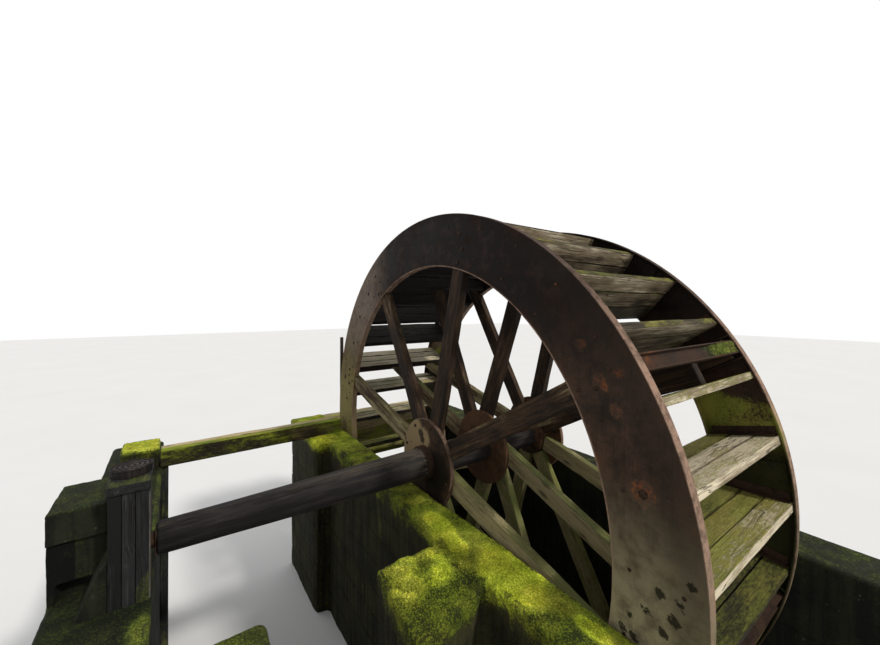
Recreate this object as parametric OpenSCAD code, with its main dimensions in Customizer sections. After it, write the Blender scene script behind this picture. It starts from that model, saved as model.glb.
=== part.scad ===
// Undershot waterwheel with its race walls, shaft bearings and beams.
// X runs along the shaft from the bank to the far wall, Y along the race,
// Z up. The origin is on the floor of the race, at the middle of the outline.
// Lengths are in millimetres and angles in degrees. Angles round the wheel
// are counted from +Y towards +Z.

/* [Wheel] */
// Outside diameter of the shroud rings
wheel_d = 4570; // [4200:10:4900]
// Width over both shroud rings
wheel_w = 1485; // [1300:5:1700]
// Radial depth of a shroud ring
ring_depth = 460; // [400:5:520]
// Thickness of a ring's iron plate
plate_t = 14; // [10:1:20]
// Width of the rims that turn inwards from a plate
rim_w = 62; // [50:1:80]
// Thickness of those rims
rim_t = 12; // [8:1:18]
// Thickness of the cheeks beside an arm's pocket
cheek_t = 12; // [8:1:16]
// Gap between an arm and each cheek of its pocket
pocket_gap = 3; // [1:0.5:6]
// Width of the plate that joins two lengths of ring
splice_w = 120; // [90:5:130]
// Thickness of that plate
splice_t = 10; // [8:1:14]
// Gap between the wheel and the race floor
floor_gap = 120; // [60:5:200]

/* [Arms and hubs] */
// Arms in one set
arm_count = 8; // [4:4:8]
// Width of an arm, across the spoke
arm_w = 160; // [130:5:180]
// Thickness of an arm, along the shaft
arm_t = 80; // [60:5:100]
// Distance from the rim to an arm's outer end
arm_end_gap = 60; // [40:5:100]
// Width of the channel iron that ties the rings at the arms' ends
tie_w = 100; // [80:5:120]
// Thickness of that channel iron
tie_t = 8; // [5:1:10]
// Diameter of the two outer hub discs
hub_d = 790; // [740:10:860]
// Diameter of the middle hub disc
mid_hub_d = 730; // [700:10:800]
// Thickness of a hub disc
hub_t = 36; // [25:1:50]
// Diameter of the hub's boss
boss_d = 430; // [400:5:460]
// Length of the boss, past the arms
boss_len = 150; // [130:5:190]
// Gap between an arm's inner end and the boss
arm_root_gap = 7; // [3:1:20]

/* [Floats] */
// Floats for each arm of one set
floats_per_arm = 4; // [3:1:4]
// Angle of the first float
float_angle = 8.55; // [8:0.05:9]
// Thickness of a float's boards
float_t = 55; // [40:1:65]
// Boards in one float
board_count = 3; // [2:1:3]
// Depth of the joint between two boards
joint_depth = 12; // [6:1:20]
// Width of the joint between two boards
joint_w = 9; // [4:1:14]
// Leg of the angle irons that hold a float
angle_leg = 55; // [45:1:58]
// Thickness of those angle irons
angle_t = 9; // [6:1:12]
// Gap between a float's edge and the rims
float_edge_gap = 4; // [2:1:10]
// Gap between a float's end and a ring's plate
float_end_gap = 0.5; // [0.2:0.1:0.9]
// Gap between an angle iron's ends and the float's edges
iron_end_gap = 20; // [5:1:40]

/* [Shaft] */
// Width of the eight-sided shaft over its flats, at the wheel
shaft_w = 262; // [230:2:290]
// Width over the flats at the bank end of the shaft
shaft_tail_w = 186; // [160:2:220]
// Width of a shaft hoop
hoop_w = 60; // [40:2:80]
// Thickness of a shaft hoop
hoop_t = 10; // [6:1:14]
// Diameter of the gudgeons
gudgeon_d = 96; // [80:2:110]
// Radial running clearance of a gudgeon in its bearing
run_gap = 0.08; // [0.05:0.01:0.1]
// Gap between the end of the shaft and a bearing
end_gap = 22; // [15:1:40]

/* [Race] */
// Length of the race walls
race_len = 6000; // [5600:50:6400]
// Height of the shaft's centre above the tops of the walls
wall_drop = 260; // [240:5:320]
// Thickness of the race wall beside the wheel
wall_t = 262; // [230:2:300]
// Thickness of the far race wall
far_wall_t = 420; // [380:5:500]
// Width of the bank wall
bank_w = 490; // [460:5:560]
// Width of the open channel between the bank and the race wall
channel_w = 1705; // [1600:5:1800]
// Gap between a shroud ring and the wall beside it
side_gap = 80; // [50:5:120]
// How far the race wall's head stands out into the channel
head_out = 160; // [100:5:220]
// Length of the race wall's head
head_len = 1240; // [1100:10:1250]
// Length of the stub wall on the race wall
race_stub_len = 580; // [480:10:680]
// Length of the stub wall on the bank
bank_stub_len = 515; // [400:10:600]
// Thickness of both stub walls
stub_t = 610; // [500:10:700]
// Distance from the shaft to the middle of the stub walls
stub_y = 1025; // [950:5:1100]

/* [Beams] */
// Height of the cross beam
beam_h = 178; // [150:2:200]
// Width of the cross beam
beam_w = 210; // [180:2:240]
// Distance from the shaft to the middle of the cross beam
beam_y = 2110; // [2060:5:2200]
// Width of the prop under the cross beam, along the race
beam_post_w = 130; // [110:2:150]
// Thickness of that prop
beam_post_t = 46; // [40:1:60]
// Width of each tail beam
tail_beam_w = 225; // [200:5:230]
// Height of the tail beams
tail_beam_h = 205; // [180:5:230]
// Gap between the two tail beams
tail_gap = 18; // [5:1:30]
// Thickness of the tail boards
tail_board_t = 60; // [40:2:80]
// Depth of the tail boards below their beam
tail_board_h = 430; // [300:10:600]
// Width of the tail stake
stake_w = 44; // [36:1:60]
// Height of the tail stake above the tail beam
stake_h = 1240; // [1000:10:1400]

/* [Bank support] */
// Width of the support over its three posts
post_set_w = 180; // [165:3:210]
// Gap between two of the posts
post_gap = 6; // [2:1:12]
// Depth of the posts along the race
post_depth = 360; // [320:5:420]
// Height of the posts
post_h = 648; // [620:2:680]
// How far the cap stands past the posts
cap_out = 14; // [8:1:24]
// Height of the cap
cap_h = 59; // [50:1:80]
// Diameter of the log round on the cap
log_d = 220; // [190:5:250]
// Thickness of the log round
log_h = 42; // [34:1:60]
// Distance from the channel to the support
post_inset = 16; // [10:1:30]
// Width of the bearing set into the posts
bearing_w = 176; // [160:2:200]
// Height of a bearing
bearing_h = 190; // [170:2:210]
// Length of the far bearing along the shaft
far_bearing_len = 168; // [140:2:200]
// Depth of the lintel behind the support
lintel_depth = 430; // [380:5:480]
// Height of the lintel
lintel_h = 187; // [170:1:200]
// Height of the block that carries the lintel
block_h = 355; // [330:5:380]
// Height of the drain opening in the block
drain_h = 122; // [100:2:140]
// Width of the drain opening in the block
drain_w = 170; // [140:5:190]
// Height of the pad beside the cross beam, above the bank
pad_h = 214; // [200:2:240]
// Length of that pad along the race
pad_len = 390; // [350:10:430]
// Width of that pad
pad_w = 335; // [300:5:360]

/* [Hidden] */
wheel_r = wheel_d / 2;
ring_in_r = wheel_r - ring_depth;
axle_z = wheel_r + floor_gap;
wall_h = axle_z - wall_drop;
// How much lower the cheeks are than the rims, and how deep an arm's
// pocket is let into the plate
cheek_drop = 2;
pocket_sink = 1;
overall_w = bank_w + channel_w + wall_t + 2 * side_gap + wheel_w + far_wall_t;
bank_x = -overall_w / 2;
channel_x = bank_x + bank_w;
race_x = channel_x + channel_w;
near_x = race_x + wall_t + side_gap;
far_x = near_x + wheel_w;
far_wall_x = far_x + side_gap;
mid_x = (near_x + far_x) / 2;
race_end = race_len / 2;

arm_start = boss_d / 2 + arm_root_gap;
float_count = arm_count * floats_per_arm;
pitch = 360 / float_count;
arm_pitch = 360 / arm_count;
// The outer sets of arms pass between two floats, and the middle set
// lies along the back of every fourth float.
side_arm_angle = float_angle + pitch / 2;
mid_arm_angle = float_angle + pitch;
splice_angle = side_arm_angle + pitch * floor(floats_per_arm / 2);
splice_end_gap = 20;
arm_end = wheel_r - arm_end_gap;
mid_arm_shift = (arm_w + float_t) / 2;
float_in = ring_in_r + rim_t + float_edge_gap;
float_out = wheel_r - rim_t - float_edge_gap;
board_w = (float_out - float_in) / board_count;
tie_h = float_out - arm_end;
floats_a_node = float_count / 4;

shaft_tail_x = channel_x + end_gap;
shaft_end_x = far_wall_x + end_gap;
taper_x = near_x - boss_len / 2;
gudgeon_r = gudgeon_d / 2;
far_bearing_x = shaft_end_x + end_gap;
bed_w = 2 * bearing_w;
bed_out = 10;

post_w = (post_set_w - 2 * post_gap) / 3;
post_x = channel_x - post_inset - post_set_w;
cap_z = wall_h + post_h;
// The bank bearing is as long as two posts with their gap, and the
// gudgeon stops just short of its far face.
bearing_len = 2 * post_w + post_gap;
bearing_x = channel_x - post_inset - bearing_len;
pin_short = 4;
gudgeon_reach = end_gap + post_inset + bearing_len - pin_short;
gudgeon_plate_share = 0.7;
lintel_w = post_x - bank_x - cap_out;
lintel_y = 60;
lintel_out = 30;
haunch_w = 145;
haunch_h = 300;
haunch_shoulder = 240;
haunch_t = 230;
drain_x = 45;
strap_w = 45;
strap_t = 8;
strap_inset = 20;
beam_seat = 15;
pad_front = 20;
stake_x = 150;
tail_y = race_end - 2 * tail_beam_w - tail_gap;
head_y = race_end - head_len;
far_set_x = far_x - plate_t - arm_t;
eps = 1;

// Put children on the shaft's centre line at x, with their Z along X.
module on_shaft(x) {
    translate([x, 0, axle_z]) rotate([90, 0, 90]) children();
}

// Turn children to an angle round the wheel, as drawn on the +X radius
// of a plane that on_shaft has stood up.
module at_angle(angle) {
    rotate([0, 0, angle]) children();
}

module octagon(width) {
    rotate(22.5) circle(d = width / cos(22.5), $fn = 8);
}

// One side of the wheel: a plate with an outer and an inner rim. The inner
// rim opens into a pocket at each arm, with a cheek on either side, and a
// joint plate lies across the ring between two arms.
module shroud_ring() {
    pocket_w = arm_w + 2 * pocket_gap;
    difference() {
        rotate_extrude($fn = 192) {
            translate([ring_in_r, 0]) square([ring_depth, plate_t]);
            translate([ring_in_r, 0]) square([rim_t, rim_w]);
            translate([wheel_r - rim_t, 0]) square([rim_t, rim_w]);
        }
        for (i = [0 : arm_count - 1])
            at_angle(side_arm_angle + i * arm_pitch)
                translate([ring_in_r - rim_t, -(pocket_w + cheek_t) / 2, plate_t - pocket_sink])
                    cube([3 * rim_t, pocket_w + cheek_t, rim_w]);
    }
    for (i = [0 : arm_count - 1], side = [0, 1])
        at_angle(side_arm_angle + i * arm_pitch) mirror([0, side, 0])
            translate([ring_in_r + rim_t / 2, pocket_w / 2, plate_t / 2])
                cube([ring_depth - rim_t, cheek_t, rim_w - plate_t / 2 - cheek_drop]);
    for (i = [0 : arm_count - 1])
        at_angle(splice_angle + i * arm_pitch)
            translate([ring_in_r + rim_t + splice_end_gap, -splice_w / 2, plate_t / 2])
                cube([ring_depth - 2 * (rim_t + splice_end_gap), splice_w, splice_t + plate_t / 2]);
}

module ring_near() {
    color("saddlebrown") on_shaft(near_x) shroud_ring();
}

module ring_far() {
    color("saddlebrown") on_shaft(far_x) mirror([0, 0, 1]) shroud_ring();
}

// A set of arms whose lower face is at z = 0, each moved sideways by shift.
module arm_set(first_angle, shift) {
    for (i = [0 : arm_count - 1])
        at_angle(first_angle + i * arm_pitch)
            translate([arm_start, shift - arm_w / 2, 0])
                cube([arm_end - arm_start, arm_w, arm_t]);
}

module arms_near() {
    color("peru") on_shaft(near_x + plate_t) arm_set(side_arm_angle, 0);
}

// Repeats its child at each tie's back, from x towards the far wall.
module at_ties(x) {
    on_shaft(x) for (i = [0 : arm_count - 1])
        at_angle(side_arm_angle + i * arm_pitch) translate([arm_end, 0, 0]) children();
}

// Their outer ends are cut back on a slant, to lie under the cross ties beside them.
module arms_middle() {
    color("peru") difference() {
        on_shaft(mid_x - arm_t / 2) arm_set(mid_arm_angle, -mid_arm_shift);
        at_ties(mid_x - arm_t) translate([0, -2 * arm_w, 0]) cube([tie_h, 4 * arm_w, 2 * arm_t]);
    }
}

module arms_far() {
    color("peru") on_shaft(far_set_x) arm_set(side_arm_angle, 0);
}

// Channel irons between the rings, open outwards, on the arms' outer ends.
module cross_ties() {
    tie_len = wheel_w - 2 * plate_t;
    color("brown") at_ties(near_x + plate_t) translate([0, -tie_w / 2, 0])
        difference() {
            cube([tie_h, tie_w, tie_len]);
            translate([tie_t, tie_t, -eps]) cube([tie_h, tie_w - 2 * tie_t, tie_len + 2 * eps]);
        }
}

// A disc with a boss that passes the arms' inner ends, bored to the shaft.
module hub(disc_d) {
    difference() {
        union() {
            cylinder(d = disc_d, h = hub_t, $fn = 96);
            cylinder(d = boss_d, h = boss_len, $fn = 64);
        }
        translate([0, 0, -eps]) linear_extrude(boss_len + 2 * eps) octagon(shaft_w);
    }
}

module hub_near() {
    color("sienna") on_shaft(near_x + plate_t - hub_t) hub(hub_d);
}

module hub_middle() {
    color("sienna") on_shaft(mid_x - arm_t / 2 - hub_t) hub(mid_hub_d);
}

module hub_far() {
    color("sienna") on_shaft(far_x - plate_t + hub_t) mirror([0, 0, 1]) hub(hub_d);
}

module shaft() {
    color("tan") on_shaft(taper_x) linear_extrude(shaft_end_x - taper_x) octagon(shaft_w);
}

// The shaft narrows from the wheel to its bank end.
module shaft_tail() {
    color("tan") on_shaft(taper_x) mirror([0, 0, 1])
        linear_extrude(taper_x - shaft_tail_x, scale = shaft_tail_w / shaft_w) octagon(shaft_w);
}

module hoop(width) {
    difference() {
        cylinder(d = width / cos(22.5) + 2 * hoop_t, h = hoop_w, $fn = 64);
        translate([0, 0, -eps]) linear_extrude(hoop_w + 2 * eps) octagon(width);
    }
}

module shaft_hoops() {
    color("dimgray") {
        on_shaft(near_x + plate_t - hub_t - hoop_w - 1) hoop(shaft_w);
        on_shaft(shaft_end_x - hoop_w) hoop(shaft_w);
    }
}

// A gudgeon is a round pin on a square plate at the end of the shaft.
module gudgeon(end_w, reach) {
    plate_w = end_w * gudgeon_plate_share;
    cylinder(d = gudgeon_d, h = reach, $fn = 64);
    translate([-plate_w / 2, -plate_w / 2, 0]) cube([plate_w, plate_w, end_gap / 2]);
}

module gudgeon_bank() {
    color("dimgray") on_shaft(shaft_tail_x) mirror([0, 0, 1]) gudgeon(shaft_tail_w, gudgeon_reach);
}

module gudgeon_far() {
    color("dimgray") on_shaft(shaft_end_x) gudgeon(shaft_w, end_gap + far_bearing_len + end_gap);
}

// One float: boards side by side, with a joint cut along both faces.
module float_boards() {
    float_w = wheel_w - 2 * (plate_t + float_end_gap);
    difference() {
        translate([float_in, -float_t / 2, plate_t + float_end_gap])
            cube([float_out - float_in, float_t, float_w]);
        for (i = [1 : board_count - 1], side = [-1, 1])
            translate([float_in + i * board_w - joint_w / 2, side * float_t / 2 - joint_depth, 0])
                cube([joint_w, 2 * joint_depth, wheel_w]);
    }
}

module float_group(group) {
    color("burlywood") on_shaft(near_x)
        for (i = [0 : floats_a_node - 1])
            at_angle(float_angle + (group * floats_a_node + i) * pitch) float_boards();
}

module floats_1() { float_group(0); }
module floats_2() { float_group(1); }
module floats_3() { float_group(2); }
module floats_4() { float_group(3); }

// Angle irons: one leg on the ring's plate and one on the float's back.
module float_irons() {
    for (i = [0 : float_count - 1])
        at_angle(float_angle + i * pitch) mirror([0, 1, 0])
            translate([float_in + iron_end_gap, float_t / 2, plate_t]) {
                cube([float_out - float_in - 2 * iron_end_gap, angle_leg, angle_t]);
                cube([float_out - float_in - 2 * iron_end_gap, angle_t, angle_leg]);
            }
}

module float_irons_near() {
    color("brown") on_shaft(near_x) float_irons();
}

module float_irons_far() {
    color("brown") on_shaft(far_x) mirror([0, 0, 1]) float_irons();
}

// Masonry
module race_wall() {
    color("olivedrab") translate([race_x, -race_end, 0]) cube([wall_t, race_len, wall_h]);
}

module race_wall_head() {
    color("olivedrab") translate([race_x - head_out, head_y, 0]) cube([head_out, head_len, wall_h]);
}

module race_stub() {
    color("olivedrab") translate([race_x - race_stub_len, -stub_y - stub_t / 2, 0])
        cube([race_stub_len, stub_t, wall_h]);
}

module far_wall() {
    color("darkolivegreen") translate([far_wall_x, -race_end, 0]) cube([far_wall_t, race_len, wall_h]);
}

module bank_wall() {
    color("olivedrab") translate([bank_x, -race_end, 0]) cube([bank_w, race_len, wall_h]);
}

module bank_stub() {
    color("olivedrab") translate([channel_x, -stub_y - stub_t / 2, 0])
        cube([bank_stub_len, stub_t, wall_h]);
}

module bank_pad() {
    color("yellowgreen")
        translate([channel_x - beam_seat - pad_w, beam_y - beam_w / 2 - pad_front, wall_h])
        cube([pad_w, pad_len, pad_h]);
}

module bank_block() {
    color("darkolivegreen") difference() {
        translate([bank_x, lintel_y, wall_h]) cube([lintel_w, lintel_depth, block_h]);
        translate([bank_x + drain_x, lintel_y - eps, wall_h - eps])
            cube([drain_w, lintel_depth + 2 * eps, drain_h + eps]);
    }
}

module bank_lintel() {
    color("darkolivegreen") translate([bank_x, lintel_y - lintel_out, wall_h + block_h])
        cube([lintel_w, lintel_depth + lintel_out, lintel_h]);
}

// A sloped haunch of mortar against the foot of the posts.
module haunch() {
    color("olivedrab") translate([post_x, -post_depth / 2 + haunch_t, wall_h]) rotate([90, 0, 0])
        linear_extrude(haunch_t)
            polygon([[0, 0], [0, haunch_h], [-haunch_w / 3, haunch_shoulder], [-haunch_w, 0]]);
}

// Bank support
module post(i) {
    difference() {
        translate([post_x + i * (post_w + post_gap), -post_depth / 2, wall_h])
            cube([post_w, post_depth, post_h]);
        translate([bearing_x - eps, -bearing_w / 2, axle_z - bearing_h / 2])
            cube([bearing_len + 2 * eps, bearing_w, bearing_h]);
    }
}

module post_1() { color("gray") post(0); }
module post_2() { color("gray") post(1); }
module post_3() { color("gray") post(2); }

module post_cap() {
    color("darkkhaki") translate([post_x - cap_out, -post_depth / 2 - cap_out, cap_z])
        cube([post_set_w + 2 * cap_out, post_depth + 2 * cap_out, cap_h]);
}

module log_round() {
    color("rosybrown") translate([post_x + post_set_w / 2, 0, cap_z + cap_h])
        cylinder(d = log_d, h = log_h, $fn = 64);
}

module bearing_body(length, width, height) {
    difference() {
        translate([-width / 2, -height / 2, 0]) cube([width, height, length]);
        translate([0, 0, -eps]) cylinder(r = gudgeon_r + run_gap, h = length + 2 * eps, $fn = 64);
    }
}

module bearing_bank() {
    color("dimgray") on_shaft(bearing_x) bearing_body(bearing_len, bearing_w, bearing_h);
}

module post_strap() {
    color("dimgray") translate([channel_x - post_inset, -post_depth / 2 + strap_inset, wall_h])
        cube([strap_t, strap_w, post_h - 2 * strap_inset]);
}

// Beams
module cross_beam() {
    color("yellowgreen") translate([channel_x - beam_seat, beam_y - beam_w / 2, wall_h])
        cube([channel_w + wall_t + beam_seat, beam_w, beam_h]);
}

module beam_post() {
    color("darkkhaki") translate([channel_x, beam_y - beam_post_w / 2, 0])
        cube([beam_post_t, beam_post_w, wall_h]);
}

module tail_beam(i) {
    color("yellowgreen")
        translate([race_x + wall_t, tail_y + i * (tail_beam_w + tail_gap), wall_h - tail_beam_h])
            cube([wheel_w + 2 * side_gap, tail_beam_w, tail_beam_h]);
}

module tail_beam_1() { tail_beam(0); }
module tail_beam_2() { tail_beam(1); }

module tail_boards() {
    color("dimgray") translate([race_x + wall_t, tail_y, wall_h - tail_beam_h - tail_board_h])
        cube([wheel_w + 2 * side_gap, tail_board_t, tail_board_h]);
}

module tail_stake() {
    color("darkkhaki") translate([near_x + stake_x, tail_y + tail_beam_w / 2, wall_h])
        cube([stake_w, stake_w, stake_h]);
}

// Far bearing, on a timber bed on the far wall
module bearing_far() {
    color("dimgray") on_shaft(far_bearing_x) bearing_body(far_bearing_len, bearing_w, bearing_h);
}

module bearing_bed() {
    color("peru") translate([far_bearing_x - bed_out, -bed_w / 2, wall_h])
        cube([far_bearing_len + 2 * bed_out, bed_w, axle_z - bearing_h / 2 - wall_h]);
}

ring_near();
ring_far();
arms_near();
arms_middle();
arms_far();
cross_ties();
hub_near();
hub_middle();
hub_far();
shaft();
shaft_tail();
shaft_hoops();
gudgeon_bank();
gudgeon_far();
floats_1();
floats_2();
floats_3();
floats_4();
float_irons_near();
float_irons_far();
race_wall();
race_wall_head();
race_stub();
far_wall();
bank_wall();
bank_stub();
bank_pad();
bank_block();
bank_lintel();
haunch();
post_1();
post_2();
post_3();
post_cap();
log_round();
bearing_bank();
post_strap();
cross_beam();
beam_post();
tail_beam_1();
tail_beam_2();
tail_boards();
tail_stake();
bearing_far();
bearing_bed();
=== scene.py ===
"""Looks of the mill's waterwheel, its race walls and its bearings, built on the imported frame."""
import math

import bpy
import numpy as np
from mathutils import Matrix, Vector
from mathutils.geometry import delaunay_2d_cdt


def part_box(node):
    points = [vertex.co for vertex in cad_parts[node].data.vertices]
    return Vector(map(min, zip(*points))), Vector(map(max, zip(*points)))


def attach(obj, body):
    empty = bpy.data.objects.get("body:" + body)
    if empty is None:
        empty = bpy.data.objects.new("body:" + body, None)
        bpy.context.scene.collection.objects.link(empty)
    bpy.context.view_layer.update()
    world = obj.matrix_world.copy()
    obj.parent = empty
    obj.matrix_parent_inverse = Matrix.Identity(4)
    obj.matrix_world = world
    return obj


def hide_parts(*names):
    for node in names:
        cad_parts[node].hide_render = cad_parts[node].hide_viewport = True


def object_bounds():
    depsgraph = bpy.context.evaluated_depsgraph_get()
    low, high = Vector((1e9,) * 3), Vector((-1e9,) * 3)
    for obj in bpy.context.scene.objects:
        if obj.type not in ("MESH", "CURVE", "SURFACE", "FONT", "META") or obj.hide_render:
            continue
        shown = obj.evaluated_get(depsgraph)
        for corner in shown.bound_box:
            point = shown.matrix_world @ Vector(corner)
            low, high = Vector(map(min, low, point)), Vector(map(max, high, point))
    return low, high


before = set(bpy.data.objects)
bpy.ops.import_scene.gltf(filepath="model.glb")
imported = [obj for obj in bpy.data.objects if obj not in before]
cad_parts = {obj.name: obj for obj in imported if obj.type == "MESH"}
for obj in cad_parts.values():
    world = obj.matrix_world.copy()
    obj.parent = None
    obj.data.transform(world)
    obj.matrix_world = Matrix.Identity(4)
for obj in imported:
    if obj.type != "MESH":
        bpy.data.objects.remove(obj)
cad_low, cad_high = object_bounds()

# The wheel's setting-out, in metres and degrees, round the axle
RING_LOW, RING_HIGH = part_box("ring_near")
AXLE_Z = (RING_LOW.z + RING_HIGH.z) / 2
RING_OUT = (RING_HIGH.y - RING_LOW.y) / 2
RING_IN = 1.825
NEAR_FACE, NEAR_PLATE = 0.276, 0.290
FAR_PLATE, FAR_FACE = 1.747, 1.761
DISC_FACE, DISC_OUT = 0.254, 0.395
FLOAT_COUNT, FLOAT_FIRST, FLOAT_PITCH = 32, 8.55, 11.25
FLOAT_IN, BOARD_W, BOARD_T = 1.841, 0.1427, 0.055
FLOAT_START, FLOAT_END = 0.2905, 1.7465
ARM_COUNT, ARM_PITCH, SIDE_ARMS, MIDDLE_ARMS = 8, 45.0, 14.175, 19.8
ARM_IN, ARM_OUT, ARM_W, ARM_T = 0.222, 2.225, 0.16, 0.08
MIDDLE_ARMS_X, MIDDLE_SHIFT = 0.9785, -0.1075
SHAFT_W, SHAFT_TIP_W, SHAFT_CORNER = 0.262, 0.186, 1.072


# Numbers that vary over a surface, the same at each run
def cell_number(cell, seed):
    """A fixed number from 0 to 1 for each whole-number cell."""
    x, y, z = np.moveaxis(cell.astype(np.int64), -1, 0)
    mixed = (x * 73856093) ^ (y * 19349663) ^ (z * 83492791) ^ (seed * 2654435761)
    mixed = ((mixed ^ (mixed >> 13)) * 1274126177) & 0xFFFFFFFF
    mixed = ((mixed ^ (mixed >> 15)) * 668265263) & 0xFFFFFFFF
    return ((mixed ^ (mixed >> 16)) & 0xFFFFFF) / 0xFFFFFF


def chance(x, y, z, seed):
    """One fixed number from 0 to 1."""
    return cell_number(np.array([[x, y, z]]), seed)[0]


def ripple(places, size, seed):
    """Smooth waves from -1 to 1, size metres long along each axis."""
    scaled = places / np.asarray(size, float)
    base = np.floor(scaled)
    share = scaled - base
    share = share * share * (3 - 2 * share)
    total = np.zeros(len(scaled))
    for corner in np.ndindex(2, 2, 2):
        step = np.array(corner)
        total += np.prod(np.where(step, share, 1 - share), axis=1) * cell_number(base + step, seed)
    return 2 * total - 1


def layered(places, size, seed, layers=4):
    """Waves on waves, each layer half as long and half as high."""
    size = np.asarray(size, float)
    parts = [ripple(places, size / 2**i, seed + i) / 2**i for i in range(layers)]
    return sum(parts) / (2 - 0.5 ** (layers - 1))


def cushions(places, size, seed):
    """Rounded clumps: 1 on a clump's crown, falling to 0 in the gaps."""
    scaled = places / size
    base = np.floor(scaled)
    near = np.full(len(scaled), 9.0)
    for step in np.ndindex(3, 3, 3):
        cell = base + np.array(step) - 1
        centre = cell + np.stack([cell_number(cell, seed + i) for i in range(3)], axis=1)
        near = np.minimum(near, ((scaled - centre) ** 2).sum(axis=1))
    return np.sqrt(np.clip(1 - near, 0, 1))


def smooth_step(values, low, high):
    share = np.clip((values - low) / (high - low), 0, 1)
    return share * share * (3 - 2 * share)


def unchanged(*_):
    """What a shape or tone gets where nothing is added to it."""
    return 0.0


# Meshes
def add_object(name, data):
    made = bpy.data.objects.new(name, data)
    bpy.context.scene.collection.objects.link(made)
    return made


def cuts(low, high, step, edge):
    """Places to cut a side of a block: close together in the worn edge, then step apart."""
    count = max(1, round((high - low - 2 * edge) / step))
    middle = np.linspace(low + edge, high - edge, count + 1)
    return np.concatenate([[low, low + edge * 0.3], middle, [high - edge * 0.3, high]])


def shell(xs, ys, zs):
    """A closed box of quads through the given cuts along its three sides."""
    shape = (len(xs), len(ys), len(zs))
    outside = np.zeros(shape, bool)
    outside[[0, -1]] = outside[:, [0, -1]] = outside[:, :, [0, -1]] = True
    number = np.full(shape, -1)
    number[outside] = np.arange(outside.sum())
    i, j, k = np.nonzero(outside)
    quads = []
    for axis in range(3):
        for end in (0, -1):
            side = np.take(number, end, axis)
            around = [side[:-1, :-1], side[1:, :-1], side[1:, 1:], side[:-1, 1:]]
            quad = np.stack(around, axis=-1).reshape(-1, 4)
            quads.append(quad[:, ::-1] if (end == 0) != (axis == 1) else quad)
    return np.stack([xs[i], ys[j], zs[k]], axis=1), np.concatenate(quads)


def round_off(points, low, high, radius):
    """Rounds a box's edges by a radius for each point, and gives the outward directions."""
    radius = radius[:, None]
    inner = np.clip(points, low + radius, high - radius)
    away = points - inner
    out = away / np.maximum(np.linalg.norm(away, axis=1, keepdims=True), 1e-9)
    return inner + out * radius, out


def bands(loops):
    """Quads between neighbouring closed loops of points."""
    one, other = loops[:-1], loops[1:]
    return np.stack([one, np.roll(one, -1, 1), np.roll(other, -1, 1), other], axis=-1).reshape(-1, 4)


def fan(centre, loop):
    """Triangles from a centre point to a closed loop."""
    return np.column_stack([np.full(len(loop), centre), loop, np.roll(loop, -1)])


def closed(points, around, first, last, turn=1):
    """Closes a stack of loops with a point at each end, and gives its points and faces."""
    points = np.asarray(points).reshape(-1, 3)
    index = np.arange(len(points)).reshape(-1, around)
    ends = [fan(len(points), index[0][::-turn]), fan(len(points) + 1, index[-1][::turn])]
    return np.concatenate([points, [first, last]]), [bands(index)[:, ::turn]] + ends


class Piece:
    """Collects closed meshes into one named piece of the part."""

    def __init__(self, name):
        self.name, self.count = name, 0
        self.points, self.faces = [], []
        # A tone is partly a surface's own paleness and partly painted light and shade.
        self.values = {"grain": [], "moss": [], "tone": []}

    def add(self, points, groups, grain, moss, tone):
        """Adds points, groups of faces on them, and what the materials read at each point."""
        for group in groups:
            self.faces += map(tuple, (np.asarray(group) + self.count).tolist())
        count = len(points)
        self.points.append(points)
        self.count += count
        self.values["grain"].append(np.broadcast_to(grain, (count, 3)))
        self.values["moss"].append(np.broadcast_to(np.clip(moss, 0, 1), count))
        self.values["tone"].append(np.broadcast_to(tone, count))

    def make(self, material, body, nodes=()):
        mesh = bpy.data.meshes.new(self.name)
        mesh.from_pydata(np.concatenate(self.points), [], self.faces)
        mesh.shade_smooth()
        for key, parts in self.values.items():
            kind, field = ("FLOAT_VECTOR", "vector") if key == "grain" else ("FLOAT", "value")
            layer = mesh.attributes.new(key, kind, "POINT")
            layer.data.foreach_set(field, np.concatenate(parts).astype(np.float32).ravel())
        mesh.materials.append(material)
        made = add_object(self.name, mesh)
        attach(made, body)
        if nodes:
            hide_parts(*nodes)


def round_axle(angle, radius, x, across=0.0):
    """A place on the wheel: an angle from +Y over the top, a radius, and a shift square to it."""
    cos, sin = math.cos(math.radians(angle)), math.sin(math.radians(angle))
    return np.array([x, radius * cos - across * sin, AXLE_Z + radius * sin + across * cos])


def wood_relief(local, seed, fibre):
    """A timber's own stretch of grain, with its fine fibres and broad hollows."""
    grain = local + seed * np.array([7.31, 3.17, 5.77])
    return grain, layered(grain, fibre, seed, 3), layered(grain, (0.5, 0.09, 0.09), seed + 5, 3)


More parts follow.
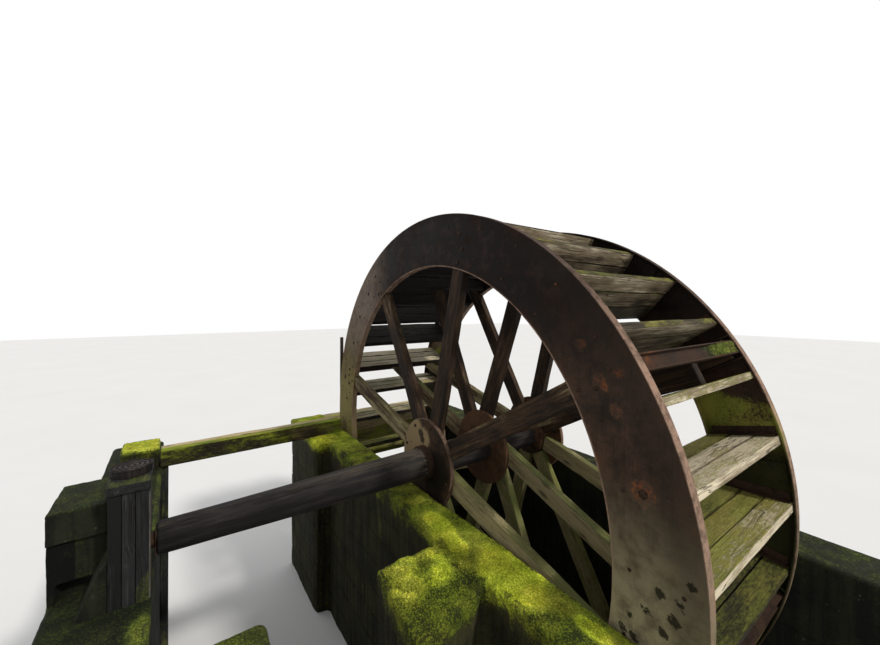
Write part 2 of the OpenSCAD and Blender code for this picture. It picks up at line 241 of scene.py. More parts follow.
def timber(piece, start, end, face, width, thick, seed, moss=0.0, tone=0.0, wear=0.004, edge=0.008,
           step=0.03, across_step=0.014, bow=0.0, ragged=0.0, up_moss=0.3, growth=unchanged, shade=unchanged):
    """A worn, sawn timber from start to end, its thickness along face.

    Moss adds to what faces up; growth and shade give more of it, or another tone, by place and facing.
    """
    start, end, face = (np.asarray(given, float) for given in (start, end, face))
    length = np.linalg.norm(end - start)
    along = (end - start) / length
    face = face - along * face.dot(along)
    face /= np.linalg.norm(face)
    turn = np.stack([along, np.cross(face, along), face])
    high = np.array([length, width / 2, thick / 2])
    low = high * [0, -1, -1]
    sides = [cuts(-half, half, across_step, edge) for half in high[1:]]
    local, quads = shell(cuts(0, length, step, edge), *sides)
    grain, fibres, hollows = wood_relief(local, seed, (0.32, 0.020, 0.020))
    worn_edge = edge * (0.75 + 0.5 * ripple(grain, (0.16, 0.5, 0.5), seed))
    points, out = round_off(local, low, high, worn_edge)
    depth = wear * np.clip(0.55 + 0.5 * fibres + 0.55 * hollows, 0, 1.4)
    depth += ragged * smooth_step(hollows, 0.25, 0.8)
    points = points - out * depth[:, None]
    points[:, 2] += bow * np.sin(np.pi * np.clip(local[:, 0] / length, 0, 1)) - bow / 2
    placed, facing = start + points @ turn, out @ turn
    up = facing[:, 2]
    cover = moss + up_moss * smooth_step(up, 0.1, 0.8) + 0.12 * hollows - 0.1 * smooth_step(-up, 0.2, 0.9)
    piece.add(placed, [quads], grain, cover + growth(placed, facing),
              tone + 0.15 * hollows + shade(placed, facing))


def stud(piece, y, z, x, out, radius, height, sides):
    """A closed, slightly domed bolt head on a face square to the axle; out is -1 or 1 along X."""
    turn = np.arange(sides) * 2 * np.pi / sides + 0.4
    across, rise = radius * np.cos(turn), radius * np.sin(turn)
    loops = [np.column_stack([np.full(sides, x + out * height * up), y + wide * across, z + wide * rise])
             for up, wide in ((-0.3, 1), (0.55, 1), (0.9, 0.72))]
    points, faces = closed(loops, sides, [x - out * height * 0.3, y, z], [x + out * height, y, z], out)
    piece.add(points, faces, points, 0.0, 0.0)


OUTLINE_CORNER = 0.05


def along_outline(corners, step):
    """Places along a closed outline with rounded corners, and the outward direction at each."""
    corners = np.asarray(corners, float)
    ways = np.roll(corners, -1, axis=0) - corners
    lengths = np.linalg.norm(ways, axis=1, keepdims=True)
    ways = ways / lengths
    outs = np.column_stack([ways[:, 1], -ways[:, 0]])
    places, out = [], []
    for i in range(len(corners)):
        count = max(1, round(lengths[i, 0] / step))
        spots = corners[i] + np.arange(count)[:, None] / count * lengths[i, 0] * ways[i]
        facing = np.tile(outs[i], (count, 1))
        after = (i + 1) % len(corners)
        for corner, one, other in ((i, i - 1, i), (after, i, after)):
            side = 1.0 if ways[one, 0] * ways[other, 1] - ways[one, 1] * ways[other, 0] > 0 else -1.0
            level = outs[one] @ outs[other]
            half = math.tan(math.acos(float(np.clip(level, -1, 1))) / 2)
            inwards = side * OUTLINE_CORNER * (outs[one] + outs[other]) / (1 + level)
            centre = corners[corner] - inwards
            near = np.linalg.norm(spots - corners[corner], axis=1)[:, None] < OUTLINE_CORNER * half
            away = side * (spots - centre)
            away /= np.linalg.norm(away, axis=1, keepdims=True)
            spots = np.where(near, centre + side * OUTLINE_CORNER * away, spots)
            facing = np.where(near, away, facing)
        places.append(spots)
        out.append(facing)
    return np.concatenate(places), np.concatenate(out)


def within(places, corners, margin):
    """Which plan places lie inside a closed outline and at least a margin from it."""
    odd = np.zeros(len(places), bool)
    gap = np.full(len(places), 9.0)
    for start, end in zip(corners, np.roll(corners, -1, axis=0)):
        way = end - start
        spans = (start[1] > places[:, 1]) != (end[1] > places[:, 1])
        rise = (places[:, 1] - start[1]) / (way[1] or 1e-12)
        odd ^= spans & (places[:, 0] < start[0] + rise * way[0])
        share = np.clip(((places - start) @ way) / (way @ way), 0, 1)
        gap = np.minimum(gap, np.linalg.norm(places - start - share[:, None] * way, axis=1))
    return odd & (gap > margin)


def sheet(loop, inner):
    """Triangles that fill a closed loop of plan places through the inner ones, facing up."""
    count = len(loop)
    spots = [Vector(place) for place in np.concatenate([loop, inner])]
    edges = [(i, (i + 1) % count) for i in range(count)]
    filled = delaunay_2d_cdt(spots, edges, [list(range(count))], 1, 1e-7)
    first = [origin[0] for origin in filled[3]]
    return np.array([[first[i] for i in face] for face in filled[2]])


COURSE = 0.27


def coursed(places, ways, seed):
    """Joints between stones laid in courses, 1 in a joint, and a number from 0 to 1 for each stone."""
    run = np.where(np.abs(ways[:, 0]) > np.abs(ways[:, 1]), places[:, 1], places[:, 0])
    level = places[:, 2] / COURSE
    row = np.floor(level)
    bed = np.abs(level - np.round(level)) * COURSE
    marks = np.column_stack([row, np.zeros(len(row)), np.zeros(len(row))])
    long = 0.42 + 0.25 * cell_number(marks, seed)
    along = run / long + 5 * cell_number(marks, seed + 1)
    end = np.abs(along - np.round(along)) * long
    number = cell_number(np.column_stack([row, np.floor(along), np.ones(len(row))]), seed + 2)
    return 1 - smooth_step(np.minimum(bed, end), 0.004, 0.014), number


TUFT_FACES = [(0, 1, 4), (1, 2, 4), (2, 3, 4), (3, 0, 4), (1, 0, 5), (2, 1, 5), (3, 2, 5), (0, 3, 5)]
# Painted light and shade on each tuft: lightest at its top point and darkest at its foot.
TUFT_TONES = np.array([0.25, 0.1, 0.25, 0.1, 0.35, -0.5])
CLOSE_UP = 0.42  # a wall's top zone, which is cut in closer rows
LOW_WALL = 0.6  # below this height a wall has close rows all over
CAPPED = 0.3  # the stones' joints stop this far below the top


def walling(name, nodes, material, seed, corners=None, step=0.02, rows=0.04, grain=0.02, moss=0.9,
            side_moss=0.1, thick=0.012, cushion=0.016, clump=0.05, rough=0.010, edge=0.03,
            lean=unchanged, lift=unchanged, light=unchanged, tufts=()):
    """Old masonry on a plan outline: worn sides, and a top of moss in cushions with small tufts on it.

    lean moves the sides out, lift raises the top and light paints sunlight and shade on the moss,
    each from a list of places.
    """
    box_low, box_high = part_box(nodes[0])
    low, high = box_low.z, box_high.z
    plan, out = along_outline(corners or [(box_low.x, box_low.y), (box_high.x, box_low.y),
                                          (box_high.x, box_high.y), (box_low.x, box_high.y)], step)
    if high - low < LOW_WALL:
        levels = [np.linspace(low, high - edge, max(3, round((high - edge - low) / 0.018)))]
    else:
        beds = np.add.outer(np.arange(COURSE, high - low - CAPPED, COURSE), (-0.012, -0.005, 0.005, 0.012))
        plain = np.linspace(low, high - CLOSE_UP, max(2, round((high - CLOSE_UP - low) / rows)))[:-1]
        levels = [plain, beds.ravel() + low, np.linspace(high - CLOSE_UP, high - edge, 24)]
    levels.append(high - edge * np.array([0.62, 0.32, 0.12, 0.0]))
    levels = np.unique(np.round(np.concatenate(levels), 4))

    def crown(places):
        flat = places * [1, 1, 0]
        wander = flat + 0.4 * clump * layered(places, clump * 1.7, seed + 40, 2)[:, None]
        return 0.6 * cushions(wander, clump, seed + 17) + 0.4 * cushions(wander, clump * 0.42, seed + 21)

    def top_of(places):
        """The height of the top over a place, above the masonry's own height."""
        patch = layered(places, 0.35, seed + 2, 3)
        rise = moss * (thick * (0.5 + 0.5 * patch) + cushion * (crown(places) - 0.45))
        return rise + (1 - moss) * 0.6 * rough * (patch + 0.4) + lift(places)

    count, floors = len(plan), len(levels)
    base = np.column_stack([np.tile(plan, (floors, 1)), np.repeat(levels, count)])
    ways = np.tile(out, (floors, 1))
    z = base[:, 2]
    relief = layered(base, 0.30, seed + 3, 5)
    runs = layered(base, (0.05, 0.05, 0.5), seed + 9, 3)
    near_top = smooth_step(z, high - 0.34, high - 0.02)
    joint, stone = coursed(base, ways, seed)
    joint = joint * (1 - smooth_step(z, high - CAPPED, high - 0.16)) * (0.55 + 0.45 * relief)
    stones = z < high - CAPPED
    cover = side_moss + 0.62 * moss * near_top**2 + 0.22 * relief + 0.16 * runs
    soft = crown(base * [1, 1, 0] + base[:, 2:] * [0.7, 0.7, 0])
    depth = rough * (0.75 + 0.7 * relief + 0.35 * runs) + 0.011 * joint + 0.006 * stone * stones
    depth -= 1.3 * cushion * smooth_step(cover, 0.3, 0.8) * soft
    depth += edge - np.sqrt(np.clip(edge**2 - np.clip(z - high + edge, 0, edge)**2, 0, None))
    depth -= lean(base, ways)
    sides = base.copy()
    sides[:, :2] -= ways * depth[:, None]
    sides[:, 2] += top_of(base) * smooth_step(z, high - 0.10, high)
    sides = np.clip(sides, np.array(cad_low), np.array(cad_high))
    # Painted shade: the sides take a low tone that rises towards the top, where light adds painted sunlight.
    side_tone = -0.55 - 0.2 * joint + 0.4 * (stone - 0.5) * stones + 0.1 * relief
    side_tone += (0.5 + 0.35 * (soft - 0.5)) * near_top + light(base) * near_top**3

    loop = sides[-count:, :2]
    spans = [np.arange(loop[:, i].min(), loop[:, i].max(), grain) for i in range(2)]
    grid = np.stack(np.meshgrid(*spans), axis=-1).reshape(-1, 2)
    marks = np.column_stack([np.round(grid / grain), np.zeros(len(grid))])
    jitter = np.stack([cell_number(marks, seed + i) for i in (31, 32)], axis=1) * 2 - 1
    grid = grid + grain * 0.35 * jitter
    grid = grid[within(grid, loop, 0.5 * grain)]
    top = np.column_stack([grid, np.full(len(grid), high)])
    top_cover = moss + 0.25 * layered(top, 0.3, seed + 5, 4)
    # Painted light on the cushions' crowns, painted shade in the gaps, and light's painted sunlight and
    # shade.
    top_tone = 0.7 * (crown(top) - 0.55) + light(top)
    top[:, 2] += top_of(top)

    rings = np.arange(floors * count).reshape(floors, count)
    lid = sheet(loop, grid) + (floors - 1) * count
    under = sheet(sides[:count, :2], np.zeros((0, 2)))[:, ::-1]
    piece = Piece(name)
    points = np.concatenate([sides, top])
    piece.add(points, [bands(rings), lid, under], points, np.concatenate([cover, top_cover]),
              np.concatenate([side_tone, top_tone]))
    for part, (area_low, area_high, number, size) in enumerate(tufts):
        marks = np.column_stack([np.arange(number), np.full(number, part), np.zeros(number)])
        luck = np.stack([cell_number(marks, seed + 60 + i) for i in range(6)], axis=1)
        spots = np.array(area_low) + luck[:, :2] * np.subtract(area_high, area_low)
        keep = within(spots, loop, 0.006)
        spots = np.column_stack([spots, np.full(number, high)])
        # The tufts take the painted sunlight and shade of the moss under them.
        bright = np.broadcast_to(light(spots), number)
        spots[:, 2] += top_of(spots)
        for i in np.flatnonzero(keep):
            turn, wide = luck[i, 2] * 6.283, size * (0.5 + 0.5 * luck[i, 3])
            long = np.array([math.cos(turn), math.sin(turn), 0.8 * luck[i, 4] - 0.4]) * wide
            broad = np.array([-math.sin(turn), math.cos(turn), 0.8 * luck[i, 5] - 0.4]) * wide * 0.6
            tall = np.array([0, 0, wide * 0.35])
            body = spots[i] + np.array([long, broad, -long, -broad, tall, -tall])
            piece.add(body, [TUFT_FACES], body, 1.0, TUFT_TONES * (0.6 + luck[i, 3]) + bright[i])
    piece.make(material, "race", nodes)


def worn_copy(name, node, size, seed, material, rough=0.006, moss=0.3, side_moss=0.1, tone=0.0,
              grain=(0, 1, 2), shade=unchanged):
    """A node's own shape in small even faces, worn back along its surface."""
    probe = add_object("probe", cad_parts[node].data.copy())
    even = probe.modifiers.new("even", "REMESH")
    even.mode, even.voxel_size = "VOXEL", size
    made = probe.evaluated_get(bpy.context.evaluated_depsgraph_get()).to_mesh()
    points = np.array([point.co for point in made.vertices])
    out = np.array([point.normal for point in made.vertices])
    faces = [tuple(face.vertices) for face in made.polygons]
    bpy.data.objects.remove(probe)
    relief, grit = layered(points, 0.16, seed, 4), layered(points, 0.035, seed + 5, 2)
    cover = side_moss + (moss - side_moss) * smooth_step(out[:, 2], 0.3, 0.8) + 0.25 * relief
    points = points - out * (rough * np.clip(0.55 + 0.6 * relief + 0.35 * grit, 0, 1.5))[:, None]
    piece = Piece(name)
    tones = tone + 0.4 * relief + 0.3 * grit + shade(points, out)
    piece.add(points, [faces], points[:, list(grain)], cover, tones)
    piece.make(material, "race", [node])


# Shader nodes
class Value:
    """A shader node's output. Sums and products of values make the nodes that work them out."""

    def __init__(self, socket):
        self.socket = socket

    def __add__(self, other):
        return math_node("ADD", self, other)

    def __sub__(self, other):
        return math_node("SUBTRACT", self, other)

    def __mul__(self, other):
        return math_node("MULTIPLY", self, other)

    def __abs__(self):
        return math_node("ABSOLUTE", self, 0.0)

    __radd__, __rmul__ = __add__, __mul__


def tint(red, green, blue):
    """A screen colour as the linear colour that a shader takes."""
    shares = [level / 255 for level in (red, green, blue)]
    return (*[share / 12.92 if share <= 0.04045 else ((share + 0.055) / 1.055) ** 2.4
              for share in shares], 1.0)


def wire(value, socket):
    """Joins a value to a socket, or writes a plain number or colour on it.

    A colour of three numbers is a screen colour, 0 to 255; one of four is what the shader takes.
    """
    if isinstance(value, Value):
        socket.id_data.links.new(value.socket, socket)
    elif socket.type == "RGBA" and len(value) == 3:
        socket.default_value = tint(*value)
    else:
        socket.default_value = value


def shader_node(kind, given, out=0, **settings):
    """A node beside the values that it is given; gives one of its outputs."""
    tree = next(value.socket.id_data for value in given.values() if isinstance(value, Value))
    made = tree.nodes.new("ShaderNode" + kind)
    for key, value in settings.items():
        setattr(made, key, value)
    for key, value in given.items():
        wire(value, made.inputs[key])
    return Value(made.outputs[out])


def math_node(kind, first, second):
    return shader_node("Math", {0: first, 1: second}, operation=kind)


def blend(share, first, second, kind="MIX"):
    """Two colours, mixed by a share."""
    return shader_node("Mix", {0: share, 6: first, 7: second}, 2, data_type="RGBA", blend_type=kind)


def moved(place, by):
    return shader_node("VectorMath", {0: place, 1: by}, operation="ADD")


def stretch(place, *by):
    return shader_node("VectorMath", {0: place, 1: by}, operation="MULTIPLY")


def distance(place, *middle):
    return shader_node("VectorMath", {0: place, 1: middle}, "Value", operation="DISTANCE")


def spread(value, low, high, to_low=0.0, to_high=1.0):
    """Stretches low..high to to_low..to_high, with soft ends."""
    given = dict(enumerate((value, low, high, to_low, to_high)))
    return shader_node("MapRange", given, interpolation_type="SMOOTHSTEP")


def mottle(place, scale, detail=4.0, rough=0.55):
    return shader_node("TexNoise", {"Vector": place, "Scale": scale, "Detail": detail, "Roughness": rough})


def cells(place, scale):
    return shader_node("TexVoronoi", {"Vector": place, "Scale": scale}, "Distance")


def three_tones(level, first, second, dark, middle, pale):
    """A dark, a middle and a pale colour, as a level rises through two steps."""
    return blend(spread(level, *second), blend(spread(level, *first), dark, middle), pale)


def new_group(name, place, values, colours):
    """A shader node group with named inputs; gives its tree and what comes in."""
    tree = bpy.data.node_groups.new(name, "ShaderNodeTree")
    labels = [(label, kind) for kind, names in (("Vector", place), ("Float", values), ("Color", colours))
              for label in names.split()]
    for label, kind in labels:
        tree.interface.new_socket(label, in_out="INPUT", socket_type="NodeSocket" + kind)
    given = tree.nodes.new("NodeGroupInput").outputs
    return tree, *[Value(given[label]) for label, _ in labels]


def finish_group(tree, **made):
    """Gives a group its outputs, a Colour and named values."""
    for label in made:
        kind = "NodeSocketColor" if label == "Colour" else "NodeSocketFloat"
        tree.interface.new_socket(label, in_out="OUTPUT", socket_type=kind)
    out = tree.nodes.new("NodeGroupOutput").inputs
    for label, value in made.items():
        wire(value, out[label])
    return tree


def place_group(group, **given):
    """Places a group beside the values that it is given; gives its outputs by name."""
    first = shader_node("Group", given, node_tree=group)
    return {out.name: Value(out) for out in first.socket.node.outputs}


def grain_group():
    """Fibres, bands, knots and drying cracks that run along the first axis of the grain vector."""
    tree, grain, tone, dark, middle, pale = new_group("weathered grain", "Grain", "Tone", "Dark Middle Pale")
    knot = spread(cells(stretch(grain, 2.6, 8.5, 8.5), 1.0), 0.05, 0.24, 1.0, 0.0)
    swirl = (mottle(stretch(grain, 1.6, 8.0, 8.0), 1.0, 2.0) - 0.5) * 0.05 + knot * 0.012
    bent = moved(grain, swirl)
    fibre = mottle(stretch(bent, 3.0, 150.0, 150.0), 1.0, 4.0, 0.6)
    band = mottle(stretch(bent, 1.1, 26.0, 26.0), 1.0, 3.0, 0.6)
    stain = mottle(stretch(grain, 2.5, 7.0, 7.0), 1.0, 4.0, 0.6)
    crack = abs(mottle(stretch(bent, 0.9, 42.0, 42.0), 1.0, 2.0, 0.5) - 0.5)
    crack = spread(crack, 0.004, 0.022, 1.0, 0.0) * spread(stain, 0.42, 0.58)
    level = fibre * 0.5 + band * 0.55 + (stain - 0.5) * 0.9 + tone
    colour = three_tones(level, (0.25, 0.55), (0.5, 0.82), dark, middle, pale)
    colour = blend(knot * 0.7, colour, dark)
    colour = blend(crack * 0.85, colour, (0.006, 0.005, 0.004, 1))
    # Painted shade: a low tone darkens the wood.
    colour = blend(spread(tone, -0.35, -1.1), colour, (0.20, 0.19, 0.19, 1), "MULTIPLY")
    return finish_group(tree, Colour=colour, Height=fibre + band * 0.8 - crack * 1.6)


def moss_group():
    """Moss and green slime where the cover is high: its colours, its edge and its fluff."""
    tree, place, cover, tone, leaves, shade, green, bright = new_group(
        "moss", "Place", "Cover Tone Leaves", "Shade Green Bright")
    fluff = mottle(place, 260.0, 3.0, 0.7)
    tuft = mottle(place, 62.0, 4.0, 0.68)
    patch = mottle(place, 7.0, 5.0, 0.62) - 0.5
    leaf = spread(cells(place, 85.0), 0.15, 0.62, 0.5, -0.5) * leaves + 0.5
    mask = spread(cover + (tuft - 0.5) * 0.75 + patch, 0.28, 0.66)
    # The tone moves the moss's colour level; a high tone paints sunlight on it, a low one paints shade.
    calm = math_node("MAXIMUM", math_node("MINIMUM", tone, 0.4), -0.12)
    level = fluff * 0.34 + tuft * 0.42 + leaf * 0.15 + patch * 0.55 + calm * 0.30
    colour = three_tones(level, (0.30, 0.52), (0.48, 0.84), shade, green, bright)
    hue = spread(mottle(place, 3.1, 3.0), 0.42, 0.62, 0.0, 0.42)
    colour = blend(hue, colour, (0.66, 0.98, 0.55, 1), "MULTIPLY")
    sunlit = blend(1.0, colour, (2.1, 2.0, 1.5, 1), "MULTIPLY")
    colour = blend(spread(tone, 0.35, 1.15), colour, sunlit)
    colour = blend(spread(tone, -0.1, -1.2), colour, (0.24, 0.25, 0.30, 1), "MULTIPLY")
    return finish_group(tree, Colour=colour, Mask=mask, Height=fluff * 0.6 + tuft + leaf * 0.5)


def rust_group():
    """Old iron: dark skin, brown bloom, orange blotches, dust, and pits."""
    tree, place, amount, iron, brown, orange = new_group("rust", "Place", "Amount", "Iron Brown Orange")
    blotch = mottle(place, 17.0, 5.0, 0.65)
    speck = mottle(place, 210.0, 3.0, 0.7)
    pit = spread(cells(place, 46.0), 0.06, 0.30, 1.0, 0.0)
    level = mottle(place, 3.2, 6.0, 0.62) * 0.6 + blotch * 0.4 + (speck - 0.5) * 0.35 + amount
    colour = three_tones(level, (0.36, 0.62), (0.62, 0.84), iron, brown, orange)
    return finish_group(tree, Colour=blend(pit * 0.45, colour, iron),
                        Roughness=spread(level, 0.3, 0.7, 0.55, 0.88),
                        Height=blotch * 0.7 + speck * 0.35 - pit * 0.4)


GRAIN, MOSS, RUST = grain_group(), moss_group(), rust_group()
MOSS_GREENS = ((54, 60, 18), (132, 138, 38), (220, 218, 92))
SLIME_GREENS = ((34, 36, 20), (78, 80, 42), (128, 126, 66))


def start_material(name, roughness, gloss=0.2):
    made = bpy.data.materials.new(name)
    made.use_nodes = True
    shader = made.node_tree.nodes["Principled BSDF"]
    shader.inputs["Roughness"].default_value = roughness
    shader.inputs["Specular IOR Level"].default_value = gloss
    return made, shader


def finish_material(shader, colour, height, depth):
    wire(colour, shader.inputs["Base Color"])
    wire(shader_node("Bump", {"Strength": 0.9, "Distance": depth, "Height": height}), shader.inputs["Normal"])


def on_mesh(made, name, kind="Fac"):
    """What a piece's mesh carries under a name."""
    node = made.node_tree.nodes.new("ShaderNodeAttribute")
    node.attribute_name = name
    return Value(node.outputs[kind])


def object_place(made):
    return Value(made.node_tree.nodes.new("ShaderNodeTexCoord").outputs["Object"])


def mossy(place, cover, tone, leaves, greens):
    shade, green, bright = greens
    return place_group(MOSS, Place=place, Cover=cover, Tone=tone, Leaves=leaves, Shade=shade, Green=green,
                       Bright=bright)


def timber_material(name, dark, middle, pale, greens=SLIME_GREENS):
    """Weathered timber with green growth where the mesh says so."""
    made, shader = start_material(name, 0.82)
    grain, tone = on_mesh(made, "grain", "Vector"), on_mesh(made, "tone")
    wood = place_group(GRAIN, Grain=grain, Tone=tone, Dark=dark, Middle=middle, Pale=pale)
    growth = mossy(stretch(grain, 0.32, 0.9, 0.9), on_mesh(made, "moss"), tone, 0.0, greens)
    colour = blend(growth["Mask"], wood["Colour"], growth["Colour"])
    finish_material(shader, colour, wood["Height"] + growth["Height"] * growth["Mask"] * 0.8, 0.004)
    return made


def stone_material(name, dark, middle, pale, greens=MOSS_GREENS):
    """Masonry under moss, with lichen spots and dark run-off streaks on its sides.

    A very low tone paints shade over it.
    """
    made, shader = start_material(name, 0.93)
    place, tone = object_place(made), on_mesh(made, "tone")
    grit = mottle(place, 75.0, 5.0, 0.72)
    streak = mottle(stretch(place, 24.0, 24.0, 1.1), 1.0, 5.0, 0.62)
    level = mottle(place, 3.2, 6.0, 0.66) * 0.34 + grit * 0.28 + streak * 0.42 + tone * 0.10
    colour = three_tones(level, (0.40, 0.54), (0.54, 0.72), dark, middle, pale)
    lichen = spread(cells(place, 24.0), 0.10, 0.22, 1.0, 0.0) * spread(mottle(place, 6.0), 0.54, 0.64)
    colour = blend(lichen * 0.2, colour, (132, 134, 108))
    # Painted shade: a very low tone darkens the stone.
    colour = blend(spread(tone, -0.75, -1.5, 0.0, 0.9), colour, (60, 60, 62), "MULTIPLY")
    growth = mossy(place, on_mesh(made, "moss"), tone, 1.0, greens)
    colour = blend(growth["Mask"], colour, growth["Colour"])
    finish_material(shader, colour, grit + streak * 0.4 + growth["Height"] * growth["Mask"], 0.006)
    return made


def spots(flat, places):
    """1 within each of some round places on the wheel's face, falling to 0 at its edge."""
    share = 0.0
    for y, z, radius in places:
        share = math_node("MAXIMUM", spread(distance(flat, 0.0, y, z), radius * 0.6, radius, 1.0, 0.0), share)
    return share


def ring_weather_and_shade(colour, place, radius, y, up):
    """A ring's dusty foot, painted shade on its top with brown bloom, worn outer part and olive far side."""
    cloud = mottle(place, 7.0, 6.0, 0.65)

    def cloudy(least, most):
        return spread(cloud, 0.30, 0.60, least, most)

    dust = spread(up, 0.62, -0.30) * cloudy(0.35, 1.0)
    colour = blend(dust, colour, (156, 147, 115))
    # Painted shade over the ring's top, less towards the far side; the brown bloom lies in it.
    above = spread(up, 0.9, 1.6) * spread(y, 1.5, 0.8, 0.1, 1.0)
    colour = blend(above, colour, (0.22, 0.20, 0.21, 1), "MULTIPLY")
    bloom = above * spread(cloud, 0.48, 0.66, 0.0, 0.55)
    outer = spread(radius, 2.06, 2.20, 0.0, 0.45) * cloudy(0.6, 1.0) * spread(y, -0.9, -1.5)
    flank = spread(y, 0.7, 1.4) * cloudy(0.45, 0.95) * spread(up, 0.6, 1.2)
    olive = spread(y, 0.9, 1.9) * spread(up, 1.3, 0.2) * spread(cloud, 0.28, 0.60, 0.35, 0.9)
    blotch = spread(cells(moved(place, (0.0, 0.3, 0.1)), 6.5), 0.12, 0.30, 1.0, 0.0)
    blotch = blotch * spread(up, 0.1, -0.3, 0.0, 0.3)
    for share, stain in ((bloom, (48, 32, 25)), (outer, (38, 33, 28)), (flank, (112, 99, 88)),
                         (olive, (128, 116, 66)), (blotch, (40, 36, 27))):
        colour = blend(share, colour, stain)
    return colour


def iron_material(name, iron, brown, orange, amount=0.0, rusty=(), dark=(), tan=(), green=0.0, rim=0.0):
    """Rusted iron, with rusty, dark and tan places; green grows inside the far ring, and a rim is pale.

    The tan places are painted light. The dark places are stains on the near ring, and a hole, dark spots and
    painted shade on the near hub. Painted shade darkens the far ring's inner face low down. A rim's pale edge
    is partly wear and partly a painted highlight.
    """
    made, shader = start_material(name, 0.78, 0.1)
    ring = rim == RING_OUT
    place = object_place(made)
    wander = (mottle(place, 38.0, 3.0, 0.7) - 0.5) * 0.09
    flat = stretch(moved(place, wander), 0.0, 1.0, 1.0)
    x, y, z = map(Value, shader_node("SeparateXYZ", {0: place}).socket.node.outputs)
    up = z - AXLE_Z
    radius = distance(stretch(place, 0.0, 1.0, 1.0), 0.0, 0.0, AXLE_Z)
    share = amount
    if ring:
        edges = spread(radius, RING_OUT - 0.10, RING_OUT, 0.0, 0.10)
        edges = edges + spread(radius, RING_IN + 0.07, RING_IN, 0.0, 0.08)
        share = edges + spread(up, 0.9, 2.2, amount, amount - 0.13)
    if rusty:
        share = share + spots(flat, rusty) * spread(mottle(place, 48.0, 4.0, 0.7), 0.35, 0.65, 0.08, 0.30)
    rust = place_group(RUST, Place=place, Amount=share, Iron=iron, Brown=brown, Orange=orange)
    streak = mottle(stretch(place, 70.0, 70.0, 5.0), 1.0, 4.0, 0.6)
    colour = blend(spread(streak, 0.45, 0.75, 0.0, 0.35), rust["Colour"], (108, 98, 84), "SOFT_LIGHT")
    if ring:
        colour = ring_weather_and_shade(colour, place, radius, y, up)
    # Painted light: the tan places.
    if tan:
        colour = blend(spots(flat, tan) * 0.8, colour, (152, 132, 98))
    # Dark places: the near ring's stains; on the near hub, a hole, dark spots and painted shade.
    if dark:
        colour = blend(spots(flat, dark) * 0.88, colour, (22, 19, 14))
    if green:
        growth = mossy(place, spread(up, 1.0, 0.7, -0.3, green), 0.3, 0.0,
                       ((46, 44, 22), (128, 126, 58), (146, 138, 66)))
        inner = spread(x, FAR_PLATE + 0.003, FAR_PLATE)
        colour = blend(growth["Mask"] * inner, colour, growth["Colour"])
        # Painted shade: the far ring's inner face is nearly black low down.
        colour = blend(inner * spread(up, 0.62, 0.40, 0.0, 0.92), colour, (19, 19, 14))
    if rim:
        # The pale rim is partly wear and partly a painted highlight; on a ring, painted shade dims it at the
        # top and low down.
        worn = spread(radius, rim - 0.007, rim - 0.001, 0.0, 1.0 if ring else 0.4)
        if ring:
            worn = worn * spread(up, 1.8, 1.1, 0.2, 1.0) * spread(up, -0.1, 0.4, 0.4, 1.0)
            worn = worn + spread(radius, RING_IN + 0.013, RING_IN + 0.004, 0.0, 0.85)
        worn = worn * spread(mottle(place, 15.0, 5.0, 0.75), 0.34, 0.62, 0.25, 0.85)
        colour = blend(worn, colour, (158, 130, 112))
    wire(rust["Roughness"], shader.inputs["Roughness"])
    finish_material(shader, colour, rust["Height"], 0.004)
    return made


ARM_TIMBER = timber_material("arm timber", (26, 18, 12), (68, 50, 35), (158, 146, 108),
                             ((40, 40, 22), (84, 84, 46), (136, 134, 86)))
FLOAT_TIMBER = timber_material("float timber", (50, 42, 31), (124, 110, 88), (206, 194, 168),
                               ((50, 48, 24), (112, 106, 50), (172, 164, 98)))
SHAFT_TIMBER = timber_material("shaft timber", (17, 15, 14), (36, 33, 32), (74, 66, 58),
                               ((34, 32, 22), (70, 66, 42), (122, 114, 72)))
POST_TIMBER = timber_material("post timber", (18, 18, 18), (35, 35, 36), (64, 65, 65))
BEAM_TIMBER = timber_material("beam timber", (46, 38, 26), (110, 94, 66), (184, 166, 128), MOSS_GREENS)
LOG_TIMBER = timber_material("log timber", (22, 19, 18), (50, 43, 40), (96, 86, 80))
MOSSY_STONE = stone_material("mossy stone", (26, 25, 14), (50, 49, 27), (88, 86, 52))
BANK_STONE = stone_material("bank stone", (15, 16, 10), (32, 34, 22), (62, 64, 46),
                            ((22, 26, 10), (58, 64, 26), (128, 132, 56)))

# Places on the wheel's face: across and up from the axle's foot, and a radius.
BIG_BOLT_PLACE = (-1.992, 2.907)
NEAR_RUST = [(*BIG_BOLT_PLACE, 0.085), (-1.63, 3.638, 0.05), (-1.756, 3.436, 0.06), (-1.872, 3.503, 0.04),
             (-1.85, 3.295, 0.05), (0.9, 4.28, 0.05), (-0.6, 4.40, 0.06), (1.9, 3.2, 0.05)]
NEAR_STAINS = [(-2.213, 2.565, 0.027), (-2.074, 2.451, 0.03), (-2.133, 2.359, 0.034), (-2.007, 2.328, 0.024),
               (-1.92, 2.255, 0.022), (-1.883, 2.161, 0.026), (-1.941, 2.155, 0.025), (-2.083, 2.271, 0.028),
               (-1.855, 2.067, 0.026), (-2.163, 2.455, 0.022)]
